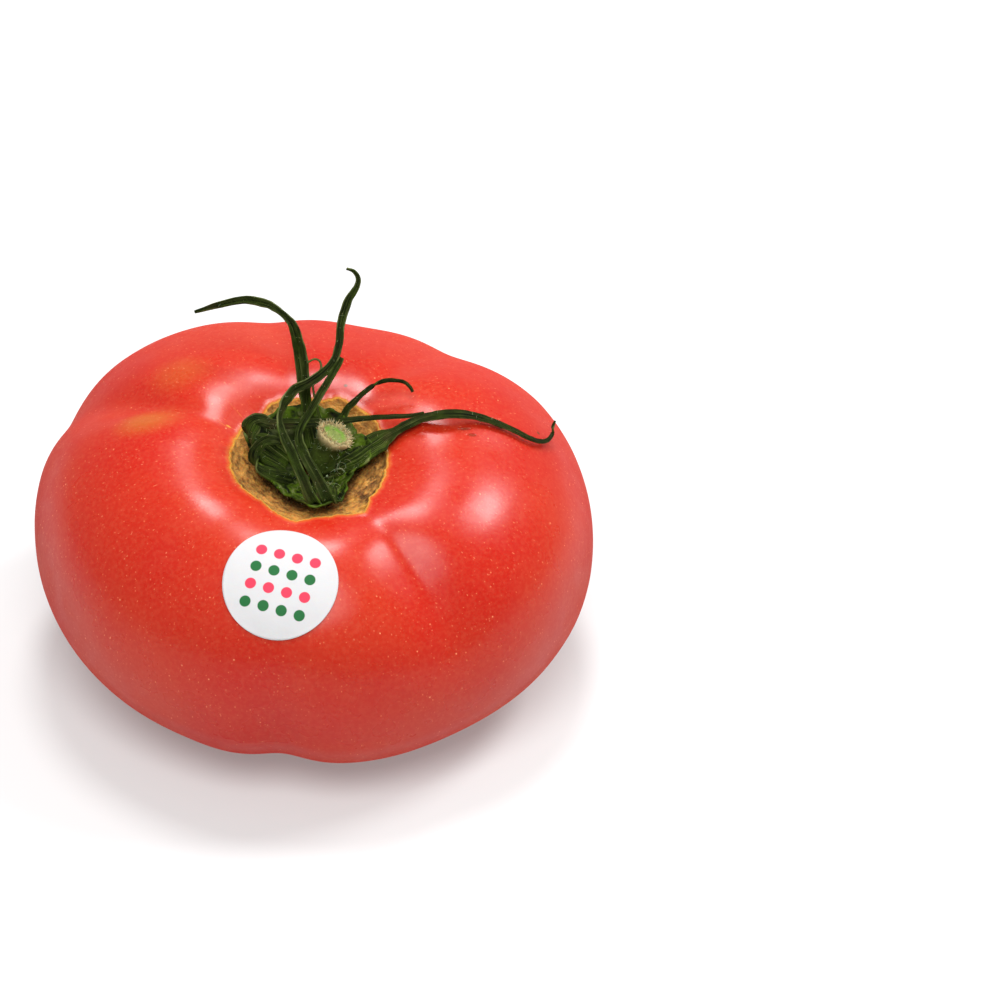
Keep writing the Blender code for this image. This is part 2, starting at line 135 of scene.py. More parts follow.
# Yellow patches: tilt, azimuth, half axes, strength
UNRIPE_PATCHES = ((33.8, 165.0, (9.0, 6.0, 5.0), 0.48), (33.0, 140.0, (9.0, 7.0, 6.0), 0.22))
# Specks: cell, radius as a share of the cell, strength, whether drawn out along the lobes
SPECKLES = ((0.80, 0.16, 0.42, False), (0.95, 0.14, 0.50, True), (2.3, 0.075, 0.80, False))

# Hairs and fibres, in millimetres: the hairs' lean is a share of their normal
HAIR_LENGTH, HAIR_RADIUS, HAIR_TAPER, HAIR_LEAN, HAIR_OUT = 0.55, 0.030, 0.3, 0.45, 0.45
CURLS, CURL_POINTS, CURL_STEP, CURL_RADIUS = 16, 12, 0.36, 0.036
CURLS_AZIMUTH, CURLS_RADIUS, CURLS_HEIGHT = (-115.0, 15.0), (2.6, 6.5), (0.2, 1.4)
CURL_BEND, CURL_TAPER, CURL_SIDES = (0.15, 0.75), 0.6, 5    # radians from point to point
FIBRES, FIBRE_RADIUS, FIBRE_SCATTER, FIBRE_LENGTH = 360, 0.065, 0.14, (0.4, 1.25)

# The label: cells of its mesh, height of its turned up edge, and degrees over which the skin's
# slope is taken
LABEL_CELLS, LABEL_EDGE_LIFT, LABEL_STEP = 64, 0.05, 3.0
# Its printed dots: distance apart, radius and blur as shares of it, and how far out
DOT_PITCH = 3.3
DOT_RADIUS, DOT_BLUR = 0.30, 0.02
DOTS_WITHIN = 2.45
DOT_TURN = 12.0

# The calyx's crown: azimuth and radius of its free edge
CROWN_EDGE = ((3, 11.2), (11, 11.6), (25, 11.2), (31, 10.2), (53, 11.5), (72, 11.8), (112, 12.5),
              (136, 12.4), (159, 13.1), (174, 10.8), (195, 9.8), (214, 8.9), (235, 10.1),
              (258, 12.3), (270, 14.7), (280, 14.6), (294, 13.8), (317, 9.0), (342, 8.7),
              (351, 10.9))
CROWN_INNER_RADIUS = 1.6
CROWN_CLEARANCE = 0.9
CROWN_RISE = 1.7
CROWN_RAGGED, CROWN_RAGS = 0.35, 9.0           # height and number of the free edge's tatters
CROWN_WAVE, CROWN_WAVES = 0.35, 6.0
CROWN_PUCKER, CROWN_PUCKERS = 0.25, 13.0
CROWN_LOWEST = 1.2             # below the hub
CROWN_SIDES, CROWN_RINGS = 240, 26
HUB_LEVEL = 25.4
PAINTED_SHADE_SPOT, PAINTED_SHADE_RADIUS = (-4.0, -1.5, 25.5), 8.0     # painted shade in the crown's hollow: its middle and radius

# Sepals: width's direction at the root and at the tip, depth of the fold as a share of the
# width, then the route as (x, y, z, width, twist)
SEPALS = {
    "back": ((1, 0, 0), (0, 0.7, 0.7), 0.26, (
        (0.5, 0, 24.8, 3.0, 0), (-0.2, 3, 27, 2.6, 10), (-0.9, 6.7, 30, 2.3, 35),
        (-1.2, 8.4, 33, 2.3, 10), (-1.6, 11.4, 36, 2.4, -15), (-2.3, 13.6, 39, 2.1, -10),
        (-3.2, 15.5, 41.3, 1.6, 0), (-4.9, 17.2, 42.5, 1.1, 0), (-6.9, 18.8, 43, 1.3, 0),
        (-9, 20, 43, 1.5, 0), (-12.5, 21.2, 42.5, 1.4, 0), (-17.2, 21.9, 40.5, 1.1, 0),
        (-21.6, 22.7, 38, 0.5, 0))),
    "front_long": ((1, 0.1, 0), (1, 0, 0), 0.3, (
        (0.8, -11.5, 25.7, 3.0, 0), (1.4, -15.5, 28.2, 2.6, 0), (0.7, -18.6, 30, 2.1, 0),
        (-1.3, -15.7, 32.5, 1.8, 0), (-3.3, -10.9, 34.5, 1.7, 0), (-4.9, -7.8, 36, 1.7, 25),
        (-5.7, -4.5, 37, 1.7, 60), (-4.9, -1.7, 38, 1.7, 40), (-3, 0.7, 39, 1.7, 0),
        (-0.1, 2, 40, 1.6, 0), (2.5, 3.6, 41, 1.5, 0), (4.3, 5.7, 42, 1.3, 0),
        (5.2, 8.7, 43.2, 1.3, 0), (5.6, 11.9, 45, 1.3, 0), (6.3, 14.3, 46.5, 1.5, 0),
        (7.3, 16.2, 48, 1.3, 0), (8.4, 17.6, 49, 1.0, 0), (8.8, 18.9, 50, 0.8, 0),
        (8, 19.8, 51, 0.6, 0), (6.6, 20, 51.5, 0.4, 0))),
    "front_short": ((1, 0, 0), (1, -0.2, 0), 0.3, (
        (3.6, -11, 25.8, 3.2, 0), (4, -15.2, 28.2, 2.8, 0), (3.4, -18.2, 30, 2.3, 0),
        (1.2, -15, 32.5, 1.9, 0), (-1.1, -10.9, 34.5, 1.7, 0), (-2, -7.8, 35.5, 1.6, -20),
        (-1.3, -5.3, 36.5, 1.5, -20), (0.3, -2.4, 37.5, 1.3, 0), (1.9, 0.2, 39, 1.3, 0),
        (3.6, 2.6, 40.5, 1.2, 0), (4.9, 4.7, 41.5, 1.1, 0), (5.7, 5.9, 42.5, 0.9, 0))),
    "back_thread": ((0, -0.7, 0.7), (0, -0.7, 0.7), 0.1, (
        (2.4, 1.4, 25.6, 1.2, 0), (1.8, 4.4, 28, 1.1, 0), (0.7, 6.8, 32, 0.9, 0),
        (0.5, 7.9, 34.5, 0.7, 0), (1.2, 8.5, 35.5, 0.7, 0), (2, 9.3, 36.5, 0.7, 0),
        (1.7, 10.1, 37.5, 0.6, 0), (0.7, 10.1, 38, 0.5, 0), (-0.6, 9.3, 37.8, 0.3, 0))),
    "right_long": ((0, 1, 0), (0, 1, 0.2), 0.10, (
        (4.8, -4.8, 24.5, 4.2, 0), (8.4, -4.2, 26.9, 6.2, 0), (11.2, -3.0, 28.5, 5.6, 0),
        (13.4, -1.4, 29.1, 4.2, 0), (15.6, -0.2, 29.5, 2.3, 0), (18, 1, 30.2, 2.1, 0),
        (20.6, 1.9, 30.9, 2, 0), (23.9, 1.8, 31.9, 2, 0), (27.6, 2.3, 31.7, 1.9, 0),
        (31.1, 3.1, 30.1, 1.6, 0), (34.3, 3.2, 28.6, 1.4, 0), (37.6, 2.9, 27, 1.2, 0),
        (40.5, 2.5, 25.4, 1.0, 0), (42.7, 2.9, 23.9, 0.9, 0), (44.5, 4.2, 22.7, 0.8, 0),
        (45.7, 6.5, 22.2, 0.7, 0), (45.8, 7.6, 22.9, 0.6, 0), (46.3, 8.7, 23.4, 0.3, 0))),
    "left_folded": ((0, 1, 0.3), (0, 0.8, 0.5), 0.14, (
        (-4.2, -4.2, 24.5, 5, 0), (-8.2, -3.4, 27.6, 6, 0), (-10.8, -3, 30.2, 4.6, 20),
        (-10.6, -1.3, 32.5, 3.4, 45), (-9.2, -0.8, 33, 2.4, 30), (-7, -0.8, 32, 2, 0),
        (-3.7, 0.2, 31, 1.9, 0), (-0.1, 1.2, 30.2, 1.7, 0), (3.6, 1.9, 29.9, 1.3, 0),
        (7.3, 2, 30.2, 1.1, 0), (11, 1.8, 31, 1, 0), (14.7, 2.1, 31, 0.9, 0),
        (18.3, 1.3, 32.1, 0.7, 0), (20.9, 1.2, 33, 0.4, 0))),
    "right_curl": ((1, -0.3, 0), (0.3, 0.6, 0.7), 0.12, (
        (4.6, 0.4, 25.4, 2.6, 0), (5.6, 3.2, 27.4, 2, 0), (6.6, 5.5, 29.1, 1.3, 0),
        (8.1, 6.6, 30.4, 1.1, 0), (10, 7.7, 31.9, 0.9, 0), (11.8, 8.4, 33, 0.8, 0),
        (13.7, 8.9, 33.7, 0.8, 0), (15.7, 8.9, 33.8, 0.7, 0), (17.4, 8.9, 33.4, 0.6, 0),
        (18.5, 8.2, 32.8, 0.6, 0), (19, 7.7, 32, 0.5, 0))),
    "left_short": ((0.3, -1, 0), (0, -0.67, -0.74), 0.1, (
        (-3.6, -7.2, 24.5, 4, 0), (-6.8, -9.2, 27.4, 3.6, 0), (-9.7, -9.4, 29.5, 3, 20),
        (-10.1, -8, 31.5, 2.4, 30), (-8.7, -6.5, 32.8, 1.9, 10), (-7.1, -5.9, 33, 1.8, 0),
        (-5.3, -5.6, 32.2, 1.5, 0))),
}
SEPAL_CELLS_ACROSS = 8
SEPAL_ROWS_PER_SPAN = 6
SEPAL_STEP = 0.004             # share of the route over which its direction is taken
SEPAL_WOBBLE = 9.0             # degrees by which it turns to and fro
SEPAL_RAGGED = 0.16            # how much its width wanders
SEPAL_CURL = 0.10
VEIN_HEIGHT, SEPAL_ROUGH = 0.0009, 0.00012     # bumps, in metres

# The stem: middle line in its own X and Z, and radius
STEM_FOOT = (2.0, -5.0, 25.6)
STEM_LINE = ((0.0, 0.0, 2.9), (0.0, 0.7, 2.6), (0.15, 1.5, 2.42), (0.4, 2.4, 2.35),
             (0.75, 3.4, 2.3), (1.15, 4.4, 2.35), (1.5, 5.2, 2.5), (1.85, 5.9, 2.85),
             (2.2, 6.45, 3.15), (2.5, 6.95, 3.3), (2.7, 7.3, 3.25))
STEM_TURN = 18.0
STEM_SIDES = 96
STEM_RIBS, STEM_RIB_HEIGHT, STEM_FRAY = 7.0, 0.10, 0.30
# The cut: rings of faces, their width, the way that it sinks, how far, and its roughness
CUT_RINGS, CUT_RING_WIDTH = 7, 0.42
CUT_INWARD, CUT_DIP, CUT_ROUGH = (0.5, 0.0, 0.85), 0.30, 0.16


class FruitShape:
    """The skin's formula in the fruit's own frame, and where that frame stands."""

    def __init__(self, settings):
        self.half_width = settings.half_width / MM
        self.above = settings.height_above_waist / MM
        self.below = settings.height_below_waist / MM
        self.stem_shift = settings.stem_end_shift / MM
        self.blossom_shift = settings.blossom_end_shift / MM
        self.cavity_depth = settings.cavity_depth / MM
        self.lean = Matrix.Rotation(settings.lean, 4, "X")
        self.place = self.stand_in_frame() @ self.lean @ Matrix.Scale(MM, 4)

    def furrow_depth(self, tilt, azimuth):
        reach = SHOULDER_REACH_IN if tilt < SHOULDER_ANGLE else SHOULDER_REACH_OUT
        at_shoulder = exp(-((tilt - SHOULDER_ANGLE) / reach) ** 2)
        at_waist = smooth(tilt, WAIST_FROM, WAIST_TO)
        depth = 0.0
        for middle, shoulder, waist, before, after in FURROWS:
            off = turned_apart(azimuth, middle)
            half = before if off < 0 else after
            across = exp((FURROW_SOFTNESS / half) ** FURROW_SHARPNESS
                         - (hypot(off, FURROW_SOFTNESS) / half) ** FURROW_SHARPNESS)
            depth += (shoulder * at_shoulder + waist * at_waist) * across
        return depth * min(sin(radians(tilt)) * FURROW_RISE, 1.0)

    def skin(self, tilt, azimuth):
        """The point of the skin at a tilt from the stem axis and an azimuth about it."""
        above = tilt < 90.0
        height = self.above if above else self.below
        power = 2.0 / (SHOULDER_ROUNDNESS if above else BASE_ROUNDNESS)
        rise = abs(cos(radians(tilt)))
        radius = self.half_width * sin(radians(tilt)) ** power
        level = height * rise ** power * (1.0 if above else -1.0)
        drawn_in = 1.0 - self.furrow_depth(tilt, azimuth) / hypot(radius, level)
        outline = 1.0 + sum(share * cos(count * radians(azimuth - middle))
                            for share, middle, count in OUTLINE_WAVES)
        level *= drawn_in
        if above:
            level -= self.cavity_depth * exp(-(radius / CAVITY_WIDTH) ** 2)
        else:
            level += DIMPLE_DEPTH * exp(-(radius / DIMPLE_WIDTH) ** 2)
        shift = (self.stem_shift if above else self.blossom_shift) * rise ** SHIFT_POWER
        radius *= outline * drawn_in
        turn = radians(azimuth)
        return Vector((radius * cos(turn), radius * sin(turn) + shift, level))

    def cavity_level(self, radius):
        """Height of the skin near the stem end, where the furrows have run out."""
        share = 1.0 - (radius / self.half_width) ** SHOULDER_ROUNDNESS
        crown = self.above * share ** (1.0 / SHOULDER_ROUNDNESS)
        return crown - self.cavity_depth * exp(-(radius / CAVITY_WIDTH) ** 2)

    def stand_in_frame(self):
        """Lays the leaned skin's box on the fruit's box in the frame."""
        points = [self.lean @ self.skin(max(tilt, 0.01), azimuth)
                  for tilt in range(0, 181, 3) for azimuth in range(0, 360, 5)]
        low = Vector(min(point[axis] for point in points) for axis in range(3)) * MM
        high = Vector(max(point[axis] for point in points) for axis in range(3)) * MM
        frame_low, frame_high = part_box("fruit")
        shift = (frame_low + frame_high - low - high) / 2.0
        shift.z = frame_low.z - low.z - FLAT_DEPTH * MM
        return Matrix.Translation(shift)


def smooth(value, low, high):
    """0 below low, 1 above high, and a smooth step between them."""
    way = min(max((value - low) / (high - low), 0.0), 1.0)
    return way * way * (3.0 - 2.0 * way)


def turned_apart(azimuth, other):
    """The angle from one azimuth to another, between -180 and 180."""
    return (azimuth - other + 180.0) % 360.0 - 180.0


def around(turn, level=0.0):
    """The point of the unit circle at a turn in radians."""
    return Vector((cos(turn), sin(turn), level))


def round_about(points, azimuth):
    """The value at an azimuth on a closed outline given as pairs of azimuth and value."""
    azimuth %= 360.0
    for (start, value), (end, next_value) in zip(points, points[1:] + points[:1]):
        span = (end - start) % 360.0
        way = ((azimuth - start) % 360.0) / span
        if way <= 1.0:
            return value + (next_value - value) * way
    return points[0][1]


def curve_through(points, way):
    """A smooth curve through points of any length of tuple, with way from 0 to 1."""
    place = way * (len(points) - 1)
    index = min(int(place), len(points) - 2)
    t = place - index
    before = points[max(index - 1, 0)]
    start = points[index]
    end = points[index + 1]
    after = points[min(index + 2, len(points) - 1)]
    return [0.5 * (2 * b + (c - a) * t + (2 * a - 5 * b + 4 * c - d) * t * t
                   + (3 * b - a - 3 * c + d) * t ** 3)
            for a, b, c, d in zip(before, start, end, after)]


def finish_piece(name, bm, material, shape=None, replaces=(), slot=None):
    """Puts a mesh in its place in the frame; given a slot, hangs it on the root body and hides the
    parts that it replaces.
    """
    if shape:
        bm.transform(shape.place)
    mesh = bpy.data.meshes.new(name)
    bm.to_mesh(mesh)
    bm.free()
    mesh.shade_smooth()
    mesh.materials.append(material)
    obj = bpy.data.objects.new(name, mesh)
    bpy.context.scene.collection.objects.link(obj)
    if slot:
        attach(obj, "root")
        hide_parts(*replaces)
    return obj


class Paint:
    """A material whose nodes are added one call at a time."""

    def __init__(self, name, roughness=0.5):
        self.material = bpy.data.materials.new(name)
        self.material.use_nodes = True
        self.tree = self.material.node_tree
        self.shader = self.tree.nodes["Principled BSDF"]
        self.shader.inputs["Roughness"].default_value = roughness
        self.place = self.add("ShaderNodeTexCoord", {}).outputs["Object"]

    def add(self, kind, inputs, **settings):
        node = self.tree.nodes.new(kind)
        for name, value in settings.items():
            setattr(node, name, value)
        for name, value in inputs.items():
            self.feed(node.inputs[name], value)
        return node

    def feed(self, socket, value):
        if isinstance(value, bpy.types.NodeSocket):
            self.tree.links.new(value, socket)
        else:
            socket.default_value = value

    def set(self, name, value):
        self.feed(self.shader.inputs[name], value)

    def attribute(self, name, output="Fac"):
        return self.add("ShaderNodeAttribute", {}, attribute_name=name).outputs[output]

    def noise(self, size, vector=None, detail=2.0, roughness=0.5):
        """Noise with features of about that size, in the vector's own unit."""
        node = self.add("ShaderNodeTexNoise", {"Vector": vector or self.place,
                                               "Scale": 1.0 / size, "Detail": detail,
                                               "Roughness": roughness})
        return node.outputs["Fac"]

    def cells(self, size, vector=None):
        """Distance to the nearest scattered point, in cells, and that cell's random value."""
        node = self.add("ShaderNodeTexVoronoi", {"Vector": vector or self.place,
                                                 "Scale": 1.0 / size})
        parts = self.add("ShaderNodeSeparateColor", {"Color": node.outputs["Color"]})
        return node.outputs["Distance"], parts.outputs[0]

    def ramp(self, value, low, high, to_low=0.0, to_high=1.0):
        node = self.add("ShaderNodeMapRange",
                        {"Value": value, "From Min": low, "From Max": high,
                         "To Min": to_low, "To Max": to_high}, interpolation_type="SMOOTHSTEP")
        return node.outputs["Result"]

    def math(self, operation, a, b=0.0):
        node = self.add("ShaderNodeMath", {}, operation=operation)
        self.feed(node.inputs[0], a)
        self.feed(node.inputs[1], b)
        return node.outputs[0]

    def vector(self, operation, a, b=(0.0, 0.0, 0.0), **inputs):
        node = self.add("ShaderNodeVectorMath", {0: a, 1: b, **inputs}, operation=operation)
        return node.outputs[0]

    def length(self, vector):
        return self.add("ShaderNodeVectorMath", {0: vector}, operation="LENGTH").outputs["Value"]

    def mix(self, share, a, b):
        node = self.add("ShaderNodeMix", {}, data_type="RGBA")
        self.feed(node.inputs[0], share)
        self.feed(node.inputs[6], colour4(a))
        self.feed(node.inputs[7], colour4(b))
        return node.outputs[2]

    def blend(self, value, low, high, a, b, most=1.0):
        """From a to b as a value rises, and never further than most."""
        return self.mix(self.ramp(value, low, high, 0.0, most), a, b)

    def spot(self, middle, radii, turn=(0.0, 0.0, 0.0)):
        """1 at a point of the frame and 0 at an ellipsoid round it, both in metres."""
        node = self.add("ShaderNodeMapping", {"Vector": self.place, "Location": middle,
                                              "Rotation": turn, "Scale": radii},
                        vector_type="TEXTURE")
        return self.add("ShaderNodeTexGradient", {"Vector": node.outputs[0]},
                        gradient_type="SPHERICAL").outputs["Fac"]

    def stroke(self, shape, ends, width):
        """1 along the line between two places of the skin, 0 beside it."""
        start, end = [shape.place @ shape.skin(*end) for end in ends]
        run = end - start
        radii = (run.length / 2.0, width * MM, width * MM)
        return self.spot((start + end) / 2.0, radii, run.to_track_quat("X", "Z").to_euler())

    def bump(self, height, distance, normal=None, strength=1.0):
        inputs = {"Height": height, "Distance": distance, "Strength": strength}
        if normal:
            inputs["Normal"] = normal
        return self.add("ShaderNodeBump", inputs).outputs["Normal"]


def colour4(value):
    """A colour as the nodes take it; a socket passes through."""
    return value if isinstance(value, bpy.types.NodeSocket) else (*value[:3], 1.0)


def size(title, text, millimetres):
    return FloatProperty(name=title, description=text, default=millimetres * MM, min=-1.0,
                         unit="LENGTH", precision=4)


def angle(title, text, turn):
    return FloatProperty(name=title, description=text, default=radians(turn), subtype="ANGLE")


def amount(title, text, value):
    return FloatProperty(name=title, description=text, default=value)


def share(title, text, value):
    return FloatProperty(name=title, description=text, default=value, min=0.0, max=1.0,
                         subtype="FACTOR")


def colour(title, text, value):
    return FloatVectorProperty(name=title, description=text, default=value, size=3, min=0.0,
                               max=1.0, subtype="COLOR")


class TomatoFruitSettings(bpy.types.PropertyGroup):
    half_width: size("Half width", "Mean radius of the fruit at its waist", 52.5)
    height_above_waist: size("Height above waist", "From the waist to the crown", 33.5)
    height_below_waist: size("Height below waist", "From the waist to the base", 27.5)
    stem_end_shift: size("Stem end shift", "How far the stem end stands off the middle", -5.0)
    blossom_end_shift: size("Blossom end shift", "How far the blossom end stands off", 8.0)
    cavity_depth: size("Cavity depth", "Depth of the funnel at the stem end", 11.0)
    lean: angle("Lean", "How far the stem end tips forward", 12.0)
    ripe: colour("Ripe red", "Skin where it is ripest", (0.44, 0.010, 0.0028))
    bright: colour("Bright red", "Skin on the lobes' shoulders", (0.455, 0.021, 0.005))
    unripe: colour("Unripe yellow", "Patches that have stayed yellow", (0.42, 0.155, 0.012))
    speckle: colour("Speckle", "The skin's fine pale dots", (0.86, 0.30, 0.14))
    rim: colour("Scar rim", "Skin along the scar's edge", (0.66, 0.30, 0.03))
    cork: colour("Cork", "Dry tissue of the scar", (0.54, 0.245, 0.050))
    # Also the colour of the painted shade on the cork under the calyx
    crack_and_shade: colour("Crack", "Cracks in the cork", (0.090, 0.034, 0.005))
    gloss: share("Skin roughness", "Roughness of the waxy skin", 0.27)


class TomatoCalyxSettings(bpy.types.PropertyGroup):
    thickness: size("Thickness", "Thickness of a dried sepal", 0.34)
    dark: colour("Dark green", "Outer part of the sepals", (0.016, 0.027, 0.0018))
    fresh: colour("Fresh green", "Inside of the crown", (0.070, 0.125, 0.003))
    # Also painted along the vein ridges, where it stands partly for their sheen
    edge: colour("Edge", "Free edges and veins", (0.150, 0.170, 0.055))
    dry: colour("Dry", "Dried tips and folds", (0.070, 0.045, 0.018))
    hair: colour("Hair", "Fine hairs", (0.42, 0.48, 0.25))
    hairs: IntProperty(name="Hairs", description="Number of fine hairs", default=480, min=0)


class TomatoStemSettings(bpy.types.PropertyGroup):
    bark: colour("Stem green", "Side of the stem", (0.030, 0.046, 0.005))
    cut_rim: colour("Cut rim", "Frayed fibres round the cut", (0.56, 0.45, 0.22))
    pith: colour("Pith", "Middle of the cut", (0.145, 0.180, 0.045))
    vessel: colour("Vessels", "Darker crescent in the cut", (0.13, 0.24, 0.03))


class TomatoLabelSettings(bpy.types.PropertyGroup):
    radius: size("Radius", "Radius of the round label", 10.2)
    tilt: angle("Tilt", "Its middle's angle from the stem axis", 35.7)
    azimuth: angle("Azimuth", "Its middle's azimuth", 260.6)
    lift: size("Lift", "From the skin to the paper's middle", 0.10)
    thickness: size("Thickness", "Thickness of the paper", 0.08)
    paper: colour("Paper", "Coated white paper", (0.53, 0.515, 0.52))
    green: colour("Printed green", "Green dots", (0.008, 0.110, 0.026))
    pink: colour("Printed pink", "Pink dots", (0.60, 0.034, 0.075))


class TomatoStageSettings(bpy.types.PropertyGroup):
    floor: colour("Floor", "Plain pale table", (0.50, 0.50, 0.50))
    glow: amount("Glow", "How strongly the table glows by itself", 0.22)
    fill: amount("Fill", "Even light from all around", 0.45)
    light: amount("Light", "Brightness of all lamps", 1.0)
    camera_distance: size("Camera distance", "From the waist's middle", 520.0)
    camera_height: angle("Camera height", "Angle that it looks down", 35.7)


def ring_tilt(way):
    """Tilt of a ring of the skin: closer together round the scar."""
    if way < SCAR_SHARE:
        return SCAR_TILT * way / SCAR_SHARE
    return SCAR_TILT + (180.0 - SCAR_TILT) * (way - SCAR_SHARE) / (1.0 - SCAR_SHARE)


def beyond_scar(point, shape):
    """How far a point of the skin lies outside the scar's edge, and its azimuth about it."""
    if point.z < 0.0:
        off = Vector((point.x, point.y - shape.blossom_shift))
        edge = BLOSSOM_SCAR_RADIUS
    else:
        off = Vector((point.x, point.y - shape.stem_shift))
        edge = round_about(SCAR_EDGE, degrees(atan2(off.y, off.x)))
    azimuth = atan2(off.y, off.x)
    for height, count, layer in SCAR_EDGE_WAVES:
        edge += height * noise.noise(around(azimuth, layer) * count)
    return off.length - edge, azimuth


def scar_relief(out, azimuth, radius):
    """Height over the plain skin: a raised lip, then sunk cork with ridges along it."""
    if out > 0.0:
        return SCAR_LIP * exp(-(out / SCAR_LIP_WIDTH) ** 2)
    sunk = smooth(-out, 0.0, SCAR_DROP_WIDTH)
    along = Vector((cos(azimuth) * RIDGES_ROUND, sin(azimuth) * RIDGES_ROUND,
                    radius * RIDGES_OUTWARD))
    ridge = sum(height * noise.noise(along * finer) for height, finer in RIDGE_OCTAVES)
    return SCAR_LIP * (1.0 - sunk) - sunk * (SCAR_DROP - SCAR_RIDGE * ridge)


def make_fruit(shape, material):
    """The lobed skin, drawn out from a sphere, with the scar's relief in it."""
    bm = bmesh.new()
    bmesh.ops.create_uvsphere(bm, u_segments=SKIN_SIDES, v_segments=SKIN_RINGS, radius=1.0)
    beyond = bm.verts.layers.float.new("beyond_scar")
    grain = bm.verts.layers.float_vector.new("grain")
    up = Vector((0, 0, 1))
    for vert in bm.verts:
        tilt = min(max(ring_tilt(vert.co.angle(up) / pi), 0.001), 179.999)
        turn = atan2(vert.co.y, vert.co.x)
        point = shape.skin(tilt, degrees(turn))
        out, azimuth = beyond_scar(point, shape)
        swell = SWELL_HEIGHT * noise.noise(point / SWELL_SIZE)
        outward = Vector((point.x, point.y, point.z * 2.0)).normalized()
        relief = scar_relief(out, azimuth, hypot(point.x, point.y - shape.stem_shift))
        relief *= 1.0 if point.z > 0.0 else BLOSSOM_RELIEF
        vert.co = point + outward * swell * smooth(out, 0.0, SWELL_FROM_SCAR) + up * relief
        vert[beyond] = out
        vert[grain] = (cos(azimuth) * shape.half_width, sin(azimuth) * shape.half_width,
                       radians(tilt) * shape.half_width)
    bm.transform(shape.place)
    for vert in bm.verts:
        vert.co.z = max(vert.co.z, 0.0)
    return finish_piece("tomato_skin", bm, material, None, ["fruit"], "skin")


def skin_material(settings, shape):
    """Waxy red skin with pale specks, yellow patches and the scar's cork, which has painted shade
    toward the calyx.
    """
    paint = Paint("tomato_skin", settings.gloss)
    out = paint.attribute("beyond_scar")
    grain = paint.attribute("grain", "Vector")

    broad = paint.noise(SHADES, detail=3.0)
    red = paint.blend(broad, 0.35, 0.68, settings.ripe, settings.bright)
    for tilt, azimuth, radii, most in UNRIPE_PATCHES:
        patch = paint.spot(shape.place @ shape.skin(tilt, azimuth), [r * MM for r in radii])
        red = paint.blend(patch, 0.0, 0.9, red, settings.unripe, most)
    red = paint.mix(paint.ramp(out, 0.1, 1.1, 0.28, 0.0), red, settings.rim)

    red = paint.blend(paint.noise(MOTTLE, detail=2.0), 0.35, 0.75, red, settings.speckle, 0.06)
    for cell, radius, most, stretched in SPECKLES:
        vector = None
        if stretched:
            vector = paint.vector("MULTIPLY", grain, (1.0, 1.0, 0.42))
        distance, chance = paint.cells(cell * (1.0 if stretched else MM), vector)
        dot = paint.ramp(distance, radius * 0.5, radius * 1.25, 1.0, 0.0)
        dot = paint.math("MULTIPLY", dot, paint.ramp(chance, 0.25, 1.0, 0.0, most))
        red = paint.mix(dot, red, settings.speckle)

    for ends in SCRATCHES:
        scratch = paint.stroke(shape, ends, SCRATCH_WIDTH)
        red = paint.blend(scratch, 0.0, 0.6, red, settings.rim, 0.8)
    dented = 0.0
    for ends in GROOVES:
        mask = paint.ramp(paint.stroke(shape, ends, GROOVE_WIDTH), 0.0, 0.8)
        red = paint.mix(paint.math("MULTIPLY", mask, 0.5), red, settings.crack_and_shade)
        dented = paint.math("ADD", mask, dented)
    for place in DARK_SPOTS:
        spot = paint.spot(shape.place @ shape.skin(*place), [SPOT_RADIUS * MM] * 3)
        red = paint.blend(spot, 0.0, 0.6, red, settings.crack_and_shade, 0.8)

    fibre = paint.vector("MULTIPLY", grain, (0.10, 0.10, 0.8))
    strands = paint.noise(0.75, fibre, detail=5.0, roughness=0.55)
    whole = strands
    for tilt, azimuth, reach, wear in CORK_WEAR:
        near = paint.spot(shape.place @ shape.skin(tilt, azimuth), [reach * MM] * 3)
        whole = paint.math("SUBTRACT", whole, paint.ramp(near, 0.0, 0.7, 0.0, wear))
    cork = paint.blend(whole, 0.28, 0.58, settings.crack_and_shade, settings.cork)
    flakes = paint.noise(FLAKES, detail=5.0, roughness=0.7)
    cork = paint.blend(flakes, 0.44, 0.64, cork, [c * 0.5 for c in settings.cork], 0.75)
    pale = paint.noise(1.6, fibre, detail=3.0)
    cork = paint.blend(pale, 0.5, 0.75, cork, settings.rim, 0.35)
    # Painted shade: the cork darkens toward the calyx, whose crown shades it, mixed toward the
    # crack colour
    cork = paint.mix(paint.ramp(out, -6.0, -3.8, 0.6, 0.0), cork, settings.crack_and_shade)
    rim = paint.blend(paint.noise(RIM_GRAIN), 0.3, 0.7, settings.rim, settings.cork, 0.5)
    ring = paint.blend(out, -0.35, -0.05, cork, rim)
    paint.set("Base Color", paint.blend(out, 0.0, 0.3, ring, red))

    on_skin = paint.ramp(out, -0.1, 0.3)
    rough = paint.ramp(paint.noise(GLOSS_PATCHES, detail=3.0), 0.3, 0.7,
                       settings.gloss - 0.03, settings.gloss + 0.05)
    facing = paint.add("ShaderNodeLayerWeight", {"Blend": 0.5}).outputs["Facing"]
    rough = paint.math("ADD", rough, paint.ramp(facing, EDGE_FROM, 1.0, 0.0, EDGE_ROUGHNESS))
    dry = paint.add("ShaderNodeMix", {}, data_type="FLOAT")
    paint.feed(dry.inputs[0], on_skin)
    paint.feed(dry.inputs[2], 0.85)
    paint.feed(dry.inputs[3], rough)
    paint.set("Roughness", dry.outputs[0])
    pores = paint.bump(paint.noise(PORES, detail=2.0), PORE_HEIGHT)
    waves = paint.bump(paint.noise(WAVES, detail=1.0), WAVE_HEIGHT, pores)
    corky = paint.math("MULTIPLY", strands, paint.ramp(out, -0.1, 0.2, 1.0, 0.0))
    dents = paint.bump(paint.math("SUBTRACT", 0.0, dented), DENT_DEPTH, waves)
    paint.set("Normal", paint.bump(corky, CORK_HEIGHT, dents))
    paint.set("Specular IOR Level", 0.32)
    paint.set("Subsurface Weight", 0.35)
    paint.set("Subsurface Radius", (1.0, 0.25, 0.12))
    paint.set("Subsurface Scale", 0.004)
    paint.set("IOR", 1.46)
    return paint.material


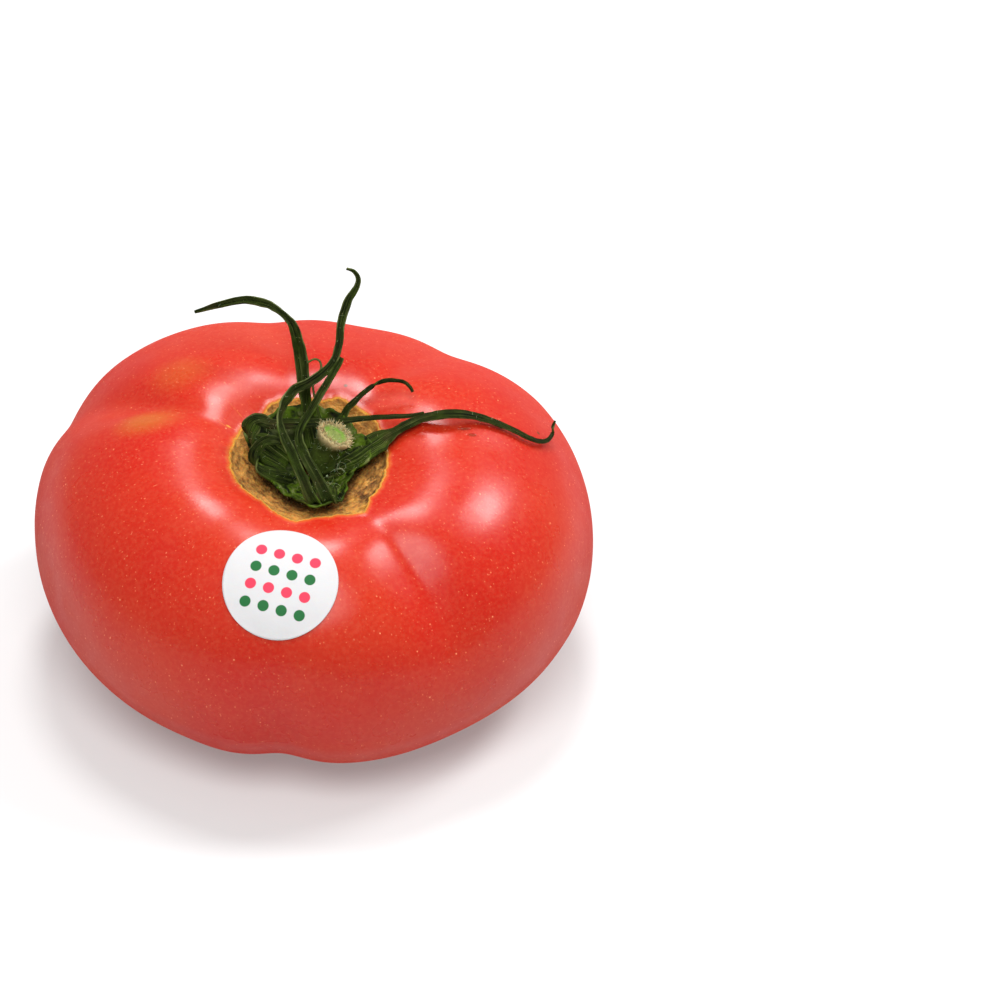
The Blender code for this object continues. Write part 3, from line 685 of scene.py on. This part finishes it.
def blade_grid(bm, uv, across, along):
    """A flat grid from -1 to 1 both ways, whose layout in UV runs from 0 to 1."""
    verts = bmesh.ops.create_grid(bm, x_segments=across, y_segments=along, size=1.0)["verts"]
    for face in dict.fromkeys(face for vert in verts for face in vert.link_faces):
        for loop in face.loops:
            loop[uv].uv = ((loop.vert.co.x + 1.0) / 2.0, (loop.vert.co.y + 1.0) / 2.0)
    return verts


def make_crown(bm, uv, shape, inner):
    """The sepals' joined feet: a bowl that follows the funnel and curls up at its edge."""
    verts = blade_grid(bm, uv, CROWN_SIDES, CROWN_RINGS)
    for vert in verts:
        azimuth = 180.0 * (vert.co.x + 1.0)
        way = (vert.co.y + 1.0) / 2.0
        turn = radians(azimuth)
        round_ = around(turn)
        edge = round_about(CROWN_EDGE, azimuth) + CROWN_RAGGED * noise.noise(round_ * CROWN_RAGS)
        radius = CROWN_INNER_RADIUS + (edge - CROWN_INNER_RADIUS) * way
        wave = CROWN_WAVE * noise.noise(round_ * CROWN_WAVES + Vector((0, 0, 5.0))) \
            * way ** 3 * 2.0
        pucker = CROWN_PUCKER * way \
            * noise.noise(round_ * CROWN_PUCKERS + Vector((0, 0, way * 1.5)))
        level = shape.cavity_level(radius) + CROWN_CLEARANCE + CROWN_RISE * way ** 3
        vert.co = Vector((radius * cos(turn), shape.stem_shift + radius * sin(turn),
                          max(level, HUB_LEVEL - CROWN_LOWEST) + wave + pucker))
        vert[inner] = 1.0 - 0.55 * way
    bmesh.ops.remove_doubles(bm, verts=verts, dist=1e-4)


def make_sepal(bm, uv, name, inner):
    """A tapering strip along its route, folded down the middle, with a ragged, curled edge."""
    side_at_root, side_at_tip, fold_share, route = SEPALS[name]
    seed = float(list(SEPALS).index(name)) * 7.3
    rows = SEPAL_ROWS_PER_SPAN * (len(route) - 1)
    for vert in blade_grid(bm, uv, SEPAL_CELLS_ACROSS, rows):
        across = vert.co.x
        way = (vert.co.y + 1.0) / 2.0
        x, y, z, width, twist = curve_through(route, way)
        ahead = Vector(curve_through(route, min(way + SEPAL_STEP, 1.0))[:3])
        behind = Vector(curve_through(route, max(way - SEPAL_STEP, 0.0))[:3])
        along = (ahead - behind).normalized()
        side = Vector(side_at_root).lerp(Vector(side_at_tip), way)
        side = (side - side.dot(along) * along).normalized()
        place = way * len(route)
        wobble = SEPAL_WOBBLE * noise.noise(Vector((place * 0.8, seed, 2.0)))
        side.rotate(Matrix.Rotation(radians(twist + wobble), 3, along))
        face = side.cross(along)
        ragged = 1.0 + SEPAL_RAGGED * noise.noise(Vector((place * 1.7, seed, copy_sign(across))))
        fold = (abs(across) - 0.5) * fold_share * width
        curl = SEPAL_CURL * width * across * across \
            * noise.noise(Vector((place * 2.3, seed + 3.0, copy_sign(across))))
        vert.co = Vector((x, y, z)) + side * across * ragged * width / 2.0 + face * (fold + curl)
        vert[inner] = 0.25 * (1.0 - smooth(way, 0.0, 0.25))


def copy_sign(value):
    return 1.0 if value > 0 else -1.0


def make_calyx(shape, settings, material):
    """Crown and sepals in one mesh, given their thickness at the end."""
    bm = bmesh.new()
    uv = bm.loops.layers.uv.new("blade")
    inner = bm.verts.layers.float.new("fresh")
    make_crown(bm, uv, shape, inner)
    for name in SEPALS:
        make_sepal(bm, uv, name, inner)
    bmesh.ops.recalc_face_normals(bm, faces=bm.faces)
    calyx = finish_piece("calyx_blades", bm, material, shape, ["calyx"], "sepal")
    wall = calyx.modifiers.new("thickness", "SOLIDIFY")
    wall.thickness = settings.thickness
    wall.offset = 0.0
    return calyx


def sepal_material(settings, shape):
    """Dark leathery green, lighter along its edges and middle vein, drier toward its tips, with
    painted sheen on the vein ridges and painted shade between them and in the crown's hollow.
    """
    paint = Paint("dried_sepal", 0.62)
    uv = paint.add("ShaderNodeUVMap", {}, uv_map="blade").outputs[0]
    parts = paint.add("ShaderNodeSeparateXYZ", {"Vector": uv})
    across = paint.math("ABSOLUTE", paint.math("SUBTRACT", parts.outputs[0], 0.5))
    fresh = paint.attribute("fresh")
    gap_shade = [c * 0.12 for c in settings.dark]
    blotch = paint.noise(0.0022, detail=4.0, roughness=0.6)
    green = paint.blend(blotch, 0.3, 0.7, settings.dark, [c * 2.4 for c in settings.dark])
    green = paint.mix(paint.math("MULTIPLY", fresh, paint.ramp(blotch, 0.38, 0.62, 0.1, 1.3)),
                      green, settings.fresh)
    stretched = paint.vector("MULTIPLY", uv, (26.0, 5.0, 1.0))
    veins = paint.noise(1.0, stretched, detail=3.0)
    # Pale streaks on the vein ridges: partly the veins' own paler colour, partly a painted sheen
    green = paint.mix(paint.math("MULTIPLY", paint.ramp(veins, 0.52, 0.70),
                                 paint.ramp(fresh, 0.02, 0.2, 0.7, 0.8)), green, settings.edge)
    # Painted shade: the gaps between the vein ridges are darkened nearly to black
    green = paint.mix(paint.ramp(veins, 0.36, 0.50, 0.95, 0.0), green, gap_shade)
    at_edge = paint.math("MULTIPLY", paint.ramp(across, 0.43, 0.5),
                         paint.ramp(fresh, 0.0, 0.2, 0.5, 0.0))
    at_edge = paint.math("MULTIPLY", at_edge, paint.ramp(paint.noise(0.003), 0.4, 0.6))
    green = paint.mix(at_edge, green, settings.edge)
    withered = paint.noise(0.006, detail=3.0)
    green = paint.blend(withered, 0.55, 0.75, green, settings.dry, 0.45)
    # Painted shade: the crown is darkened round a spot in its hollow, where the sepals shade it
    hollow = paint.spot(shape.place @ Vector(PAINTED_SHADE_SPOT), [PAINTED_SHADE_RADIUS * MM] * 3)
    hollow = paint.math("MULTIPLY", paint.ramp(hollow, 0.0, 0.6, 0.0, 0.85),
                        paint.ramp(fresh, 0.3, 0.4))
    green = paint.mix(hollow, green, [c * 0.3 for c in settings.dark])
    paint.set("Base Color", green)
    paint.set("Specular IOR Level", 0.08)
    rough = paint.bump(paint.noise(0.0005, detail=3.0), SEPAL_ROUGH)
    paint.set("Normal", paint.bump(veins, VEIN_HEIGHT, rough))
    return paint.material


def tube(bm, points, radii, sides):
    """A round tube along points, extruded ring by ring and closed at both ends."""
    rings = []
    for index, (point, radius) in enumerate(zip(points, radii)):
        ahead = points[min(index + 1, len(points) - 1)]
        behind = points[max(index - 1, 0)]
        turn = (ahead - behind).to_track_quat("Z", "X").to_matrix().to_4x4()
        here = Matrix.Translation(point) @ turn @ Matrix.Diagonal((radius, radius, 1.0, 1.0))
        if index == 0:
            made = bmesh.ops.create_circle(bm, segments=sides, radius=1.0, cap_ends=True,
                                           matrix=here)
            ring = made["verts"]
            edges = list(dict.fromkeys(edge for vert in ring for edge in vert.link_edges))
        else:
            made = bmesh.ops.extrude_edge_only(bm, edges=edges)["geom"]
            ring = [item for item in made if isinstance(item, bmesh.types.BMVert)]
            edges = [item for item in made if isinstance(item, bmesh.types.BMEdge)
                     and item.verts[0] in ring and item.verts[1] in ring]
            bmesh.ops.transform(bm, matrix=here @ last.inverted(), verts=ring)
        last = here
        rings.append(ring)
    made = bmesh.ops.edgeloop_fill(bm, edges=edges)
    return rings, made["faces"]


def make_stem(shape, material):
    """A ribbed stub that swells toward its cut, with a rough, slightly hollow cut face."""
    bm = bmesh.new()
    height = bm.verts.layers.float.new("height")
    middle = bm.verts.layers.float.new("from_middle")
    points = [Vector((x, 0.0, z)) for x, z, _ in STEM_LINE]
    rings, cap = tube(bm, points, [radius for _, _, radius in STEM_LINE], STEM_SIDES)
    for index, ring in enumerate(rings):
        for vert in ring:
            vert[height] = index / (len(rings) - 1)
            vert[middle] = 1.0
    faces = cap
    for inset in range(CUT_RINGS):
        bmesh.ops.inset_region(bm, faces=faces, thickness=CUT_RING_WIDTH, depth=0.0,
                               use_even_offset=False)
        for vert in faces[0].verts:
            vert[height] = 1.0
            vert[middle] = 1.0 - (inset + 1) / (CUT_RINGS + 0.5)
    for vert in bm.verts:
        along = vert[height]
        if vert[middle] < 1.0:
            dip = CUT_DIP * smooth(1.0 - vert[middle], 0.1, 0.6)
            rough = CUT_ROUGH * noise.noise(vert.co * 1.9)
            vert.co -= Vector(CUT_INWARD) * (dip - rough)
        else:
            index = min(int(along * (len(points) - 1) + 0.5), len(points) - 1)
            away = vert.co - points[index]
            turn = atan2(away.y, away.x)
            round_ = around(turn)
            uneven = noise.noise(Vector((round_.x * 3.0, round_.y * 3.0, along * 4.0)))
            ribs = STEM_RIB_HEIGHT * cos(STEM_RIBS * turn) + STEM_RIB_HEIGHT * uneven
            fray = STEM_FRAY * noise.noise(round_ * 8.0) * along ** 6
            vert.co += away.normalized() * (ribs + fray)
    bmesh.ops.recalc_face_normals(bm, faces=bm.faces)
    foot = Matrix.Translation(Vector(STEM_FOOT)) @ Matrix.Rotation(radians(STEM_TURN), 4, "Z")
    bm.transform(foot)
    return finish_piece("stem_stub", bm, material, shape, ["stem"], "stem")


def stem_material(settings):
    """Green side that turns tan at the frayed rim, with pale pith and a darker crescent."""
    paint = Paint("cut_stem", 0.75)
    height = paint.attribute("height")
    middle = paint.attribute("from_middle")
    grainy = paint.noise(0.0006, detail=4.0, roughness=0.6)
    side = paint.blend(paint.noise(0.0022, detail=3.0), 0.3, 0.7, settings.bark,
                       [c * 1.8 for c in settings.bark])
    side = paint.blend(height, 0.62, 0.95, side, settings.cut_rim)
    shaded = [c * 0.38 for c in settings.cut_rim]
    side = paint.mix(paint.math("MULTIPLY", paint.ramp(grainy, 0.52, 0.66, 0.0, 0.75),
                                paint.ramp(height, 0.55, 0.8)), side, shaded)
    face = paint.blend(grainy, 0.35, 0.7, settings.pith, [c * 1.5 for c in settings.pith])
    crescent = paint.ramp(middle, 0.38, 0.5)
    crescent = paint.math("MULTIPLY", crescent, paint.ramp(middle, 0.58, 0.7, 1.0, 0.0))
    crescent = paint.math("MULTIPLY", crescent, paint.ramp(paint.noise(0.0022), 0.48, 0.6))
    face = paint.mix(crescent, face, settings.vessel)
    rim = paint.blend(grainy, 0.4, 0.65, shaded, settings.cut_rim)
    face = paint.blend(middle, 0.62, 0.9, face, rim)
    paint.set("Base Color", paint.blend(height, 0.995, 1.0, side, face))
    paint.set("Specular IOR Level", 0.15)
    paint.set("Normal", paint.bump(grainy, 0.0004))
    return paint.material


def lay_hair(bm, root, direction, length, width):
    """One straight hair, as a thin cone from its root."""
    turn = direction.to_track_quat("Z", "X").to_matrix().to_4x4()
    place = Matrix.Translation(root + direction * length * HAIR_OUT) @ turn
    bmesh.ops.create_cone(bm, cap_ends=True, segments=3, radius1=width,
                          radius2=width * HAIR_TAPER, depth=length, matrix=place)


def scattered(rng):
    return Vector((rng.gauss(0, 1), rng.gauss(0, 1), rng.gauss(0, 1)))


def make_hairs(shape, settings, calyx, stem, material):
    """Fine hairs on the crown, the sepals and the stem, and curly ones at the stem's foot."""
    rng = random.Random(5)
    view = bpy.context.evaluated_depsgraph_get()
    bm = bmesh.new()
    for obj, count in ((calyx, settings.hairs), (stem, settings.hairs // 3)):
        mesh = obj.evaluated_get(view).to_mesh()
        faces = sorted(mesh.polygons, key=lambda face: sorted(face.vertices))
        areas = [face.area for face in faces]
        for face in rng.choices(faces, weights=areas, k=count):
            a, b, c = (mesh.vertices[i].co for i in sorted(face.vertices)[:3])
            u, v = sorted((rng.random(), rng.random()))
            root = a * u + b * (v - u) + c * (1.0 - v)
            direction = (face.normal + scattered(rng) * HAIR_LEAN).normalized()
            length = HAIR_LENGTH * rng.uniform(0.5, 1.5) * MM
            lay_hair(bm, root, direction, length, HAIR_RADIUS * MM)
        obj.evaluated_get(view).to_mesh_clear()
    for _ in range(CURLS):
        turn = radians(rng.uniform(*CURLS_AZIMUTH))
        reach = rng.uniform(*CURLS_RADIUS)
        point = Vector((STEM_FOOT[0] + reach * cos(turn), STEM_FOOT[1] + reach * sin(turn),
                        HUB_LEVEL + rng.uniform(*CURLS_HEIGHT)))
        heading = Vector((cos(turn), sin(turn), 1.2)).normalized()
        bend = scattered(rng).normalized()
        points = []
        for _ in range(CURL_POINTS):
            points.append(shape.place @ point)
            heading.rotate(Matrix.Rotation(rng.uniform(*CURL_BEND), 3, bend))
            point = point + heading * CURL_STEP
        radii = [CURL_RADIUS * MM * (1.0 - CURL_TAPER * i / CURL_POINTS)
                 for i in range(CURL_POINTS)]
        tube(bm, points, radii, CURL_SIDES)
    bmesh.ops.recalc_face_normals(bm, faces=bm.faces)
    return finish_piece("calyx_hairs", bm, material, None, [], "sepal")


def make_fibres(stem, material):
    """The frayed fibres that stand out round the stem's cut."""
    rng = random.Random(11)
    mesh = stem.data
    height, middle = (mesh.attributes[name].data for name in ("height", "from_middle"))
    cut = [vert.co for vert in mesh.vertices if height[vert.index].value > 0.999]
    rim = [vert.co for vert in mesh.vertices
           if height[vert.index].value > 0.999 and middle[vert.index].value > 0.8]
    centre = sum(cut, Vector()) / len(cut)
    below = [vert.co for vert in mesh.vertices if 0.85 < height[vert.index].value < 0.95]
    up = (centre - sum(below, Vector()) / len(below)).normalized()
    bm = bmesh.new()
    for _ in range(FIBRES):
        point = rng.choice(rim)
        outward = (point - centre).normalized()
        root = point + scattered(rng) * FIBRE_SCATTER * MM - outward * rng.uniform(0.0, 0.5) * MM
        direction = (outward * rng.uniform(0.1, 1.0) + up * rng.uniform(0.2, 1.0)
                     + scattered(rng) * HAIR_LEAN).normalized()
        lay_hair(bm, root, direction, rng.uniform(*FIBRE_LENGTH) * MM, FIBRE_RADIUS * MM)
    bmesh.ops.recalc_face_normals(bm, faces=bm.faces)
    return finish_piece("cut_fibres", bm, material, None, [], "stem")


def hair_material(name, tint):
    paint = Paint(name, 0.5)
    darker = [c * 0.6 for c in tint]
    paint.set("Base Color", paint.blend(paint.noise(0.003), 0.3, 0.7, tint, darker))
    paint.set("Subsurface Weight", 0.2)
    paint.set("Subsurface Scale", 0.0003)
    return paint.material


def make_label(shape, settings, fruit, material):
    """A thin paper disc laid on the skin."""
    radius = settings.radius / MM
    tilt, azimuth = degrees(settings.tilt), degrees(settings.azimuth)
    down = shape.skin(tilt + LABEL_STEP, azimuth) - shape.skin(tilt - LABEL_STEP, azimuth)
    round_ = shape.skin(tilt, azimuth + LABEL_STEP) - shape.skin(tilt, azimuth - LABEL_STEP)
    out = down.cross(round_).normalized()
    turn = out.to_track_quat("Z", "Y").to_matrix().to_4x4()
    lay = shape.place @ Matrix.Translation(shape.skin(tilt, azimuth) + out * 5.0) @ turn
    toward = (lay.to_3x3() @ Vector((0, 0, -1))).normalized()

    bm = bmesh.new()
    uv = bm.loops.layers.uv.new("print")
    bmesh.ops.create_grid(bm, x_segments=LABEL_CELLS, y_segments=LABEL_CELLS, size=1.0)
    for vert in bm.verts:
        x, y = vert.co.xy
        vert.co = Vector((x * (1 - y * y / 2) ** 0.5, y * (1 - x * x / 2) ** 0.5, 0.0)) * radius
    for face in bm.faces:
        for loop in face.loops:
            loop[uv].uv = loop.vert.co.xy
    skin = BVHTree.FromObject(fruit, bpy.context.evaluated_depsgraph_get())
    for vert in bm.verts:
        start = lay @ vert.co
        from_edge = 1.0 - vert.co.length / radius
        hit, normal = skin.ray_cast(start, toward)[:2]
        lift = settings.lift + LABEL_EDGE_LIFT * MM * exp(-(from_edge / 0.05) ** 2)
        vert.co = hit + normal * lift
    label = finish_piece("round_label", bm, material, None, ["label"], "label")
    paper = label.modifiers.new("thickness", "SOLIDIFY")
    paper.thickness = settings.thickness
    paper.offset = 1.0
    return label


def label_material(settings):
    """Coated white paper with a plain lattice of printed dots."""
    paint = Paint("label_paper", 0.6)
    uv = paint.add("ShaderNodeUVMap", {}, uv_map="print").outputs[0]
    turned = paint.add("ShaderNodeVectorRotate", {"Vector": uv, "Angle": radians(DOT_TURN)},
                       rotation_type="Z_AXIS").outputs[0]
    cell = paint.vector("SCALE", turned, Scale=1.0 / DOT_PITCH)
    corner = paint.vector("FLOOR", cell)
    off = paint.vector("SUBTRACT", paint.vector("SUBTRACT", cell, corner), (0.5, 0.5, 0.0))
    middle = paint.vector("ADD", corner, (0.5, 0.5, 0.0))
    dot = paint.ramp(paint.length(off), DOT_RADIUS - DOT_BLUR, DOT_RADIUS + DOT_BLUR, 1.0, 0.0)
    dot = paint.math("MULTIPLY", dot, paint.math("LESS_THAN", paint.length(middle), DOTS_WITHIN))
    row = paint.add("ShaderNodeSeparateXYZ", {"Vector": corner}).outputs[1]
    second = paint.math("GREATER_THAN", paint.math("FRACT", paint.math("MULTIPLY", row, 0.5)), 0.25)
    paper = paint.blend(paint.noise(0.004, detail=3.0), 0.35, 0.75, settings.paper,
                        [c * 0.82 for c in settings.paper], 0.12)
    paint.set("Base Color", paint.mix(dot, paper, paint.mix(second, settings.green, settings.pink)))
    paint.set("Normal", paint.bump(paint.noise(0.0014, detail=3.0), 0.00004))
    paint.set("Specular IOR Level", 0.2)
    paint.set("Subsurface Weight", 0.1)
    paint.set("Subsurface Scale", 0.0006)
    return paint.material


# Where the middle of the waist falls in the 1000 pixel picture, and the focal length in pixels
PICTURE = 1000.0
WAIST_PIXEL = (310.2, 538.2)
FOCAL_PIXELS = 2696.0
SENSOR = 36.0
FLOOR_HALF_WIDTH = 4.0

# Lamps: elevation and azimuth seen from the fruit, distance and width in metres, watts
LAMPS = (("overhead", 72.0, 90.0, 1.1, 0.31, 6.7), ("front_top", 60.0, -97.0, 1.3, 0.8, 13.5),
         ("right_high", 49.0, 22.0, 1.1, 0.34, 6.3))


def make_camera(shape, settings):
    """Looks down on the fruit, turned so that the waist's middle falls on its pixel."""
    down = settings.camera_height
    ahead = Vector((0.0, cos(down), -sin(down)))
    right = Vector((1.0, 0.0, 0.0))
    up = right.cross(ahead)
    across, upward = [(pixel - PICTURE / 2.0) / FOCAL_PIXELS for pixel in WAIST_PIXEL]
    toward = Vector((across, -upward, 1.0)).normalized()
    yaw = atan2(toward.x, toward.z)
    pitch = asin(toward.y)
    level = ahead * cos(yaw) - right * sin(yaw)
    side = right * cos(yaw) + ahead * sin(yaw)
    view = level * cos(pitch) - up * sin(pitch)
    top = up * cos(pitch) + level * sin(pitch)
    camera = bpy.data.objects.new("camera", bpy.data.cameras.new("camera"))
    camera.data.sensor_width = SENSOR
    camera.data.lens = SENSOR * FOCAL_PIXELS / PICTURE
    camera.data.clip_start = 0.01
    place = Matrix((side, top, -view)).transposed().to_4x4()
    place.translation = shape.place.translation - ahead * settings.camera_distance
    camera.matrix_world = place
    bpy.context.scene.collection.objects.link(camera)
    bpy.context.scene.camera = camera


def make_stage(shape, settings):
    """Plain floor, even fill light and soft lamps from above."""
    bm = bmesh.new()
    bmesh.ops.create_grid(bm, x_segments=8, y_segments=8, size=FLOOR_HALF_WIDTH)
    paint = Paint("plain_floor", 0.9)
    paint.set("Base Color", (*settings.floor, 1.0))
    paint.set("Specular IOR Level", 0.0)
    paint.set("Emission Color", (1.0, 1.0, 1.0, 1.0))
    paint.set("Emission Strength", settings.glow)
    finish_piece("floor", bm, paint.material)

    for name, elevation, azimuth, distance, width, power in LAMPS:
        light = bpy.data.lights.new(name, "AREA")
        light.shape = "DISK"
        light.size = width
        light.energy = power * settings.light
        lamp = bpy.data.objects.new(name, light)
        flat, turn = cos(radians(elevation)), radians(azimuth)
        direction = Vector((flat * cos(turn), flat * sin(turn), sin(radians(elevation))))
        lamp.location = shape.place.translation + direction * distance
        lamp.rotation_euler = direction.to_track_quat("Z", "Y").to_euler()
        bpy.context.scene.collection.objects.link(lamp)

    world = bpy.data.worlds.new("studio")
    world.use_nodes = True
    background = world.node_tree.nodes["Background"]
    background.inputs["Color"].default_value = (1.0, 1.0, 1.0, 1.0)
    background.inputs["Strength"].default_value = settings.fill
    bpy.context.scene.world = world
    bpy.context.scene.view_settings.view_transform = "Standard"


class TOMATO_OT_fruit(bpy.types.Operator):
    """Make the lobed skin with its scar"""
    bl_idname = "tomato.fruit"
    bl_label = "Fruit"

    def execute(self, context):
        shape = FruitShape(context.scene.tomato_fruit)
        make_fruit(shape, skin_material(context.scene.tomato_fruit, shape))
        return {"FINISHED"}


class TOMATO_OT_calyx(bpy.types.Operator):
    """Make the crown and its sepals"""
    bl_idname = "tomato.calyx"
    bl_label = "Calyx"

    def execute(self, context):
        settings = context.scene.tomato_calyx
        shape = FruitShape(context.scene.tomato_fruit)
        make_calyx(shape, settings, sepal_material(settings, shape))
        return {"FINISHED"}


class TOMATO_OT_stem(bpy.types.Operator):
    """Make the cut stem"""
    bl_idname = "tomato.stem"
    bl_label = "Stem"

    def execute(self, context):
        make_stem(FruitShape(context.scene.tomato_fruit), stem_material(context.scene.tomato_stem))
        return {"FINISHED"}


class TOMATO_OT_hairs(bpy.types.Operator):
    """Make the fine hairs on calyx and stem, which have to be there first"""
    bl_idname = "tomato.hairs"
    bl_label = "Hairs"

    def execute(self, context):
        settings = context.scene.tomato_calyx
        calyx, stem = bpy.data.objects["calyx_blades"], bpy.data.objects["stem_stub"]
        make_hairs(FruitShape(context.scene.tomato_fruit), settings, calyx, stem,
                   hair_material("plant_hair", settings.hair))
        make_fibres(stem, hair_material("frayed_fibre", context.scene.tomato_stem.cut_rim))
        return {"FINISHED"}


class TOMATO_OT_label(bpy.types.Operator):
    """Make the round label on the skin, which has to be there first"""
    bl_idname = "tomato.label"
    bl_label = "Label"

    def execute(self, context):
        settings = context.scene.tomato_label
        make_label(FruitShape(context.scene.tomato_fruit), settings,
                   bpy.data.objects["tomato_skin"], label_material(settings))
        return {"FINISHED"}


class TOMATO_OT_stage(bpy.types.Operator):
    """Make the floor, the light and the camera"""
    bl_idname = "tomato.stage"
    bl_label = "Stage"

    def execute(self, context):
        shape = FruitShape(context.scene.tomato_fruit)
        make_stage(shape, context.scene.tomato_stage)
        make_camera(shape, context.scene.tomato_stage)
        return {"FINISHED"}


class TOMATO_PT_pieces(bpy.types.Panel):
    """Pieces of the tomato, in the order in which they are made"""
    bl_label = "Tomato"
    bl_space_type = "VIEW_3D"
    bl_region_type = "UI"
    bl_category = "Tomato"

    def draw(self, context):
        for operator in OPERATORS:
            self.layout.operator(operator.bl_idname)
        for name in SETTINGS:
            box = self.layout.box()
            group = getattr(context.scene, name)
            for field in group.bl_rna.properties:
                if field.identifier not in ("rna_type", "name"):
                    box.prop(group, field.identifier)


OPERATORS = (TOMATO_OT_fruit, TOMATO_OT_calyx, TOMATO_OT_stem, TOMATO_OT_hairs, TOMATO_OT_label,
             TOMATO_OT_stage)
SETTINGS = {
    "tomato_fruit": TomatoFruitSettings,
    "tomato_calyx": TomatoCalyxSettings,
    "tomato_stem": TomatoStemSettings,
    "tomato_label": TomatoLabelSettings,
    "tomato_stage": TomatoStageSettings,
}


def register():
    for cls in (*SETTINGS.values(), *OPERATORS, TOMATO_PT_pieces):
        bpy.utils.register_class(cls)
    for name, cls in SETTINGS.items():
        setattr(bpy.types.Scene, name, PointerProperty(type=cls))


def unregister():
    for name in SETTINGS:
        delattr(bpy.types.Scene, name)
    for cls in (TOMATO_PT_pieces, *reversed(OPERATORS), *SETTINGS.values()):
        bpy.utils.unregister_class(cls)


def main():
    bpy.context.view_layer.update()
    register()
    bpy.ops.tomato.fruit()
    bpy.ops.tomato.calyx()
    bpy.ops.tomato.stem()
    bpy.ops.tomato.hairs()
    bpy.ops.tomato.label()
    bpy.ops.tomato.stage()


if __name__ == "__main__":
    main()
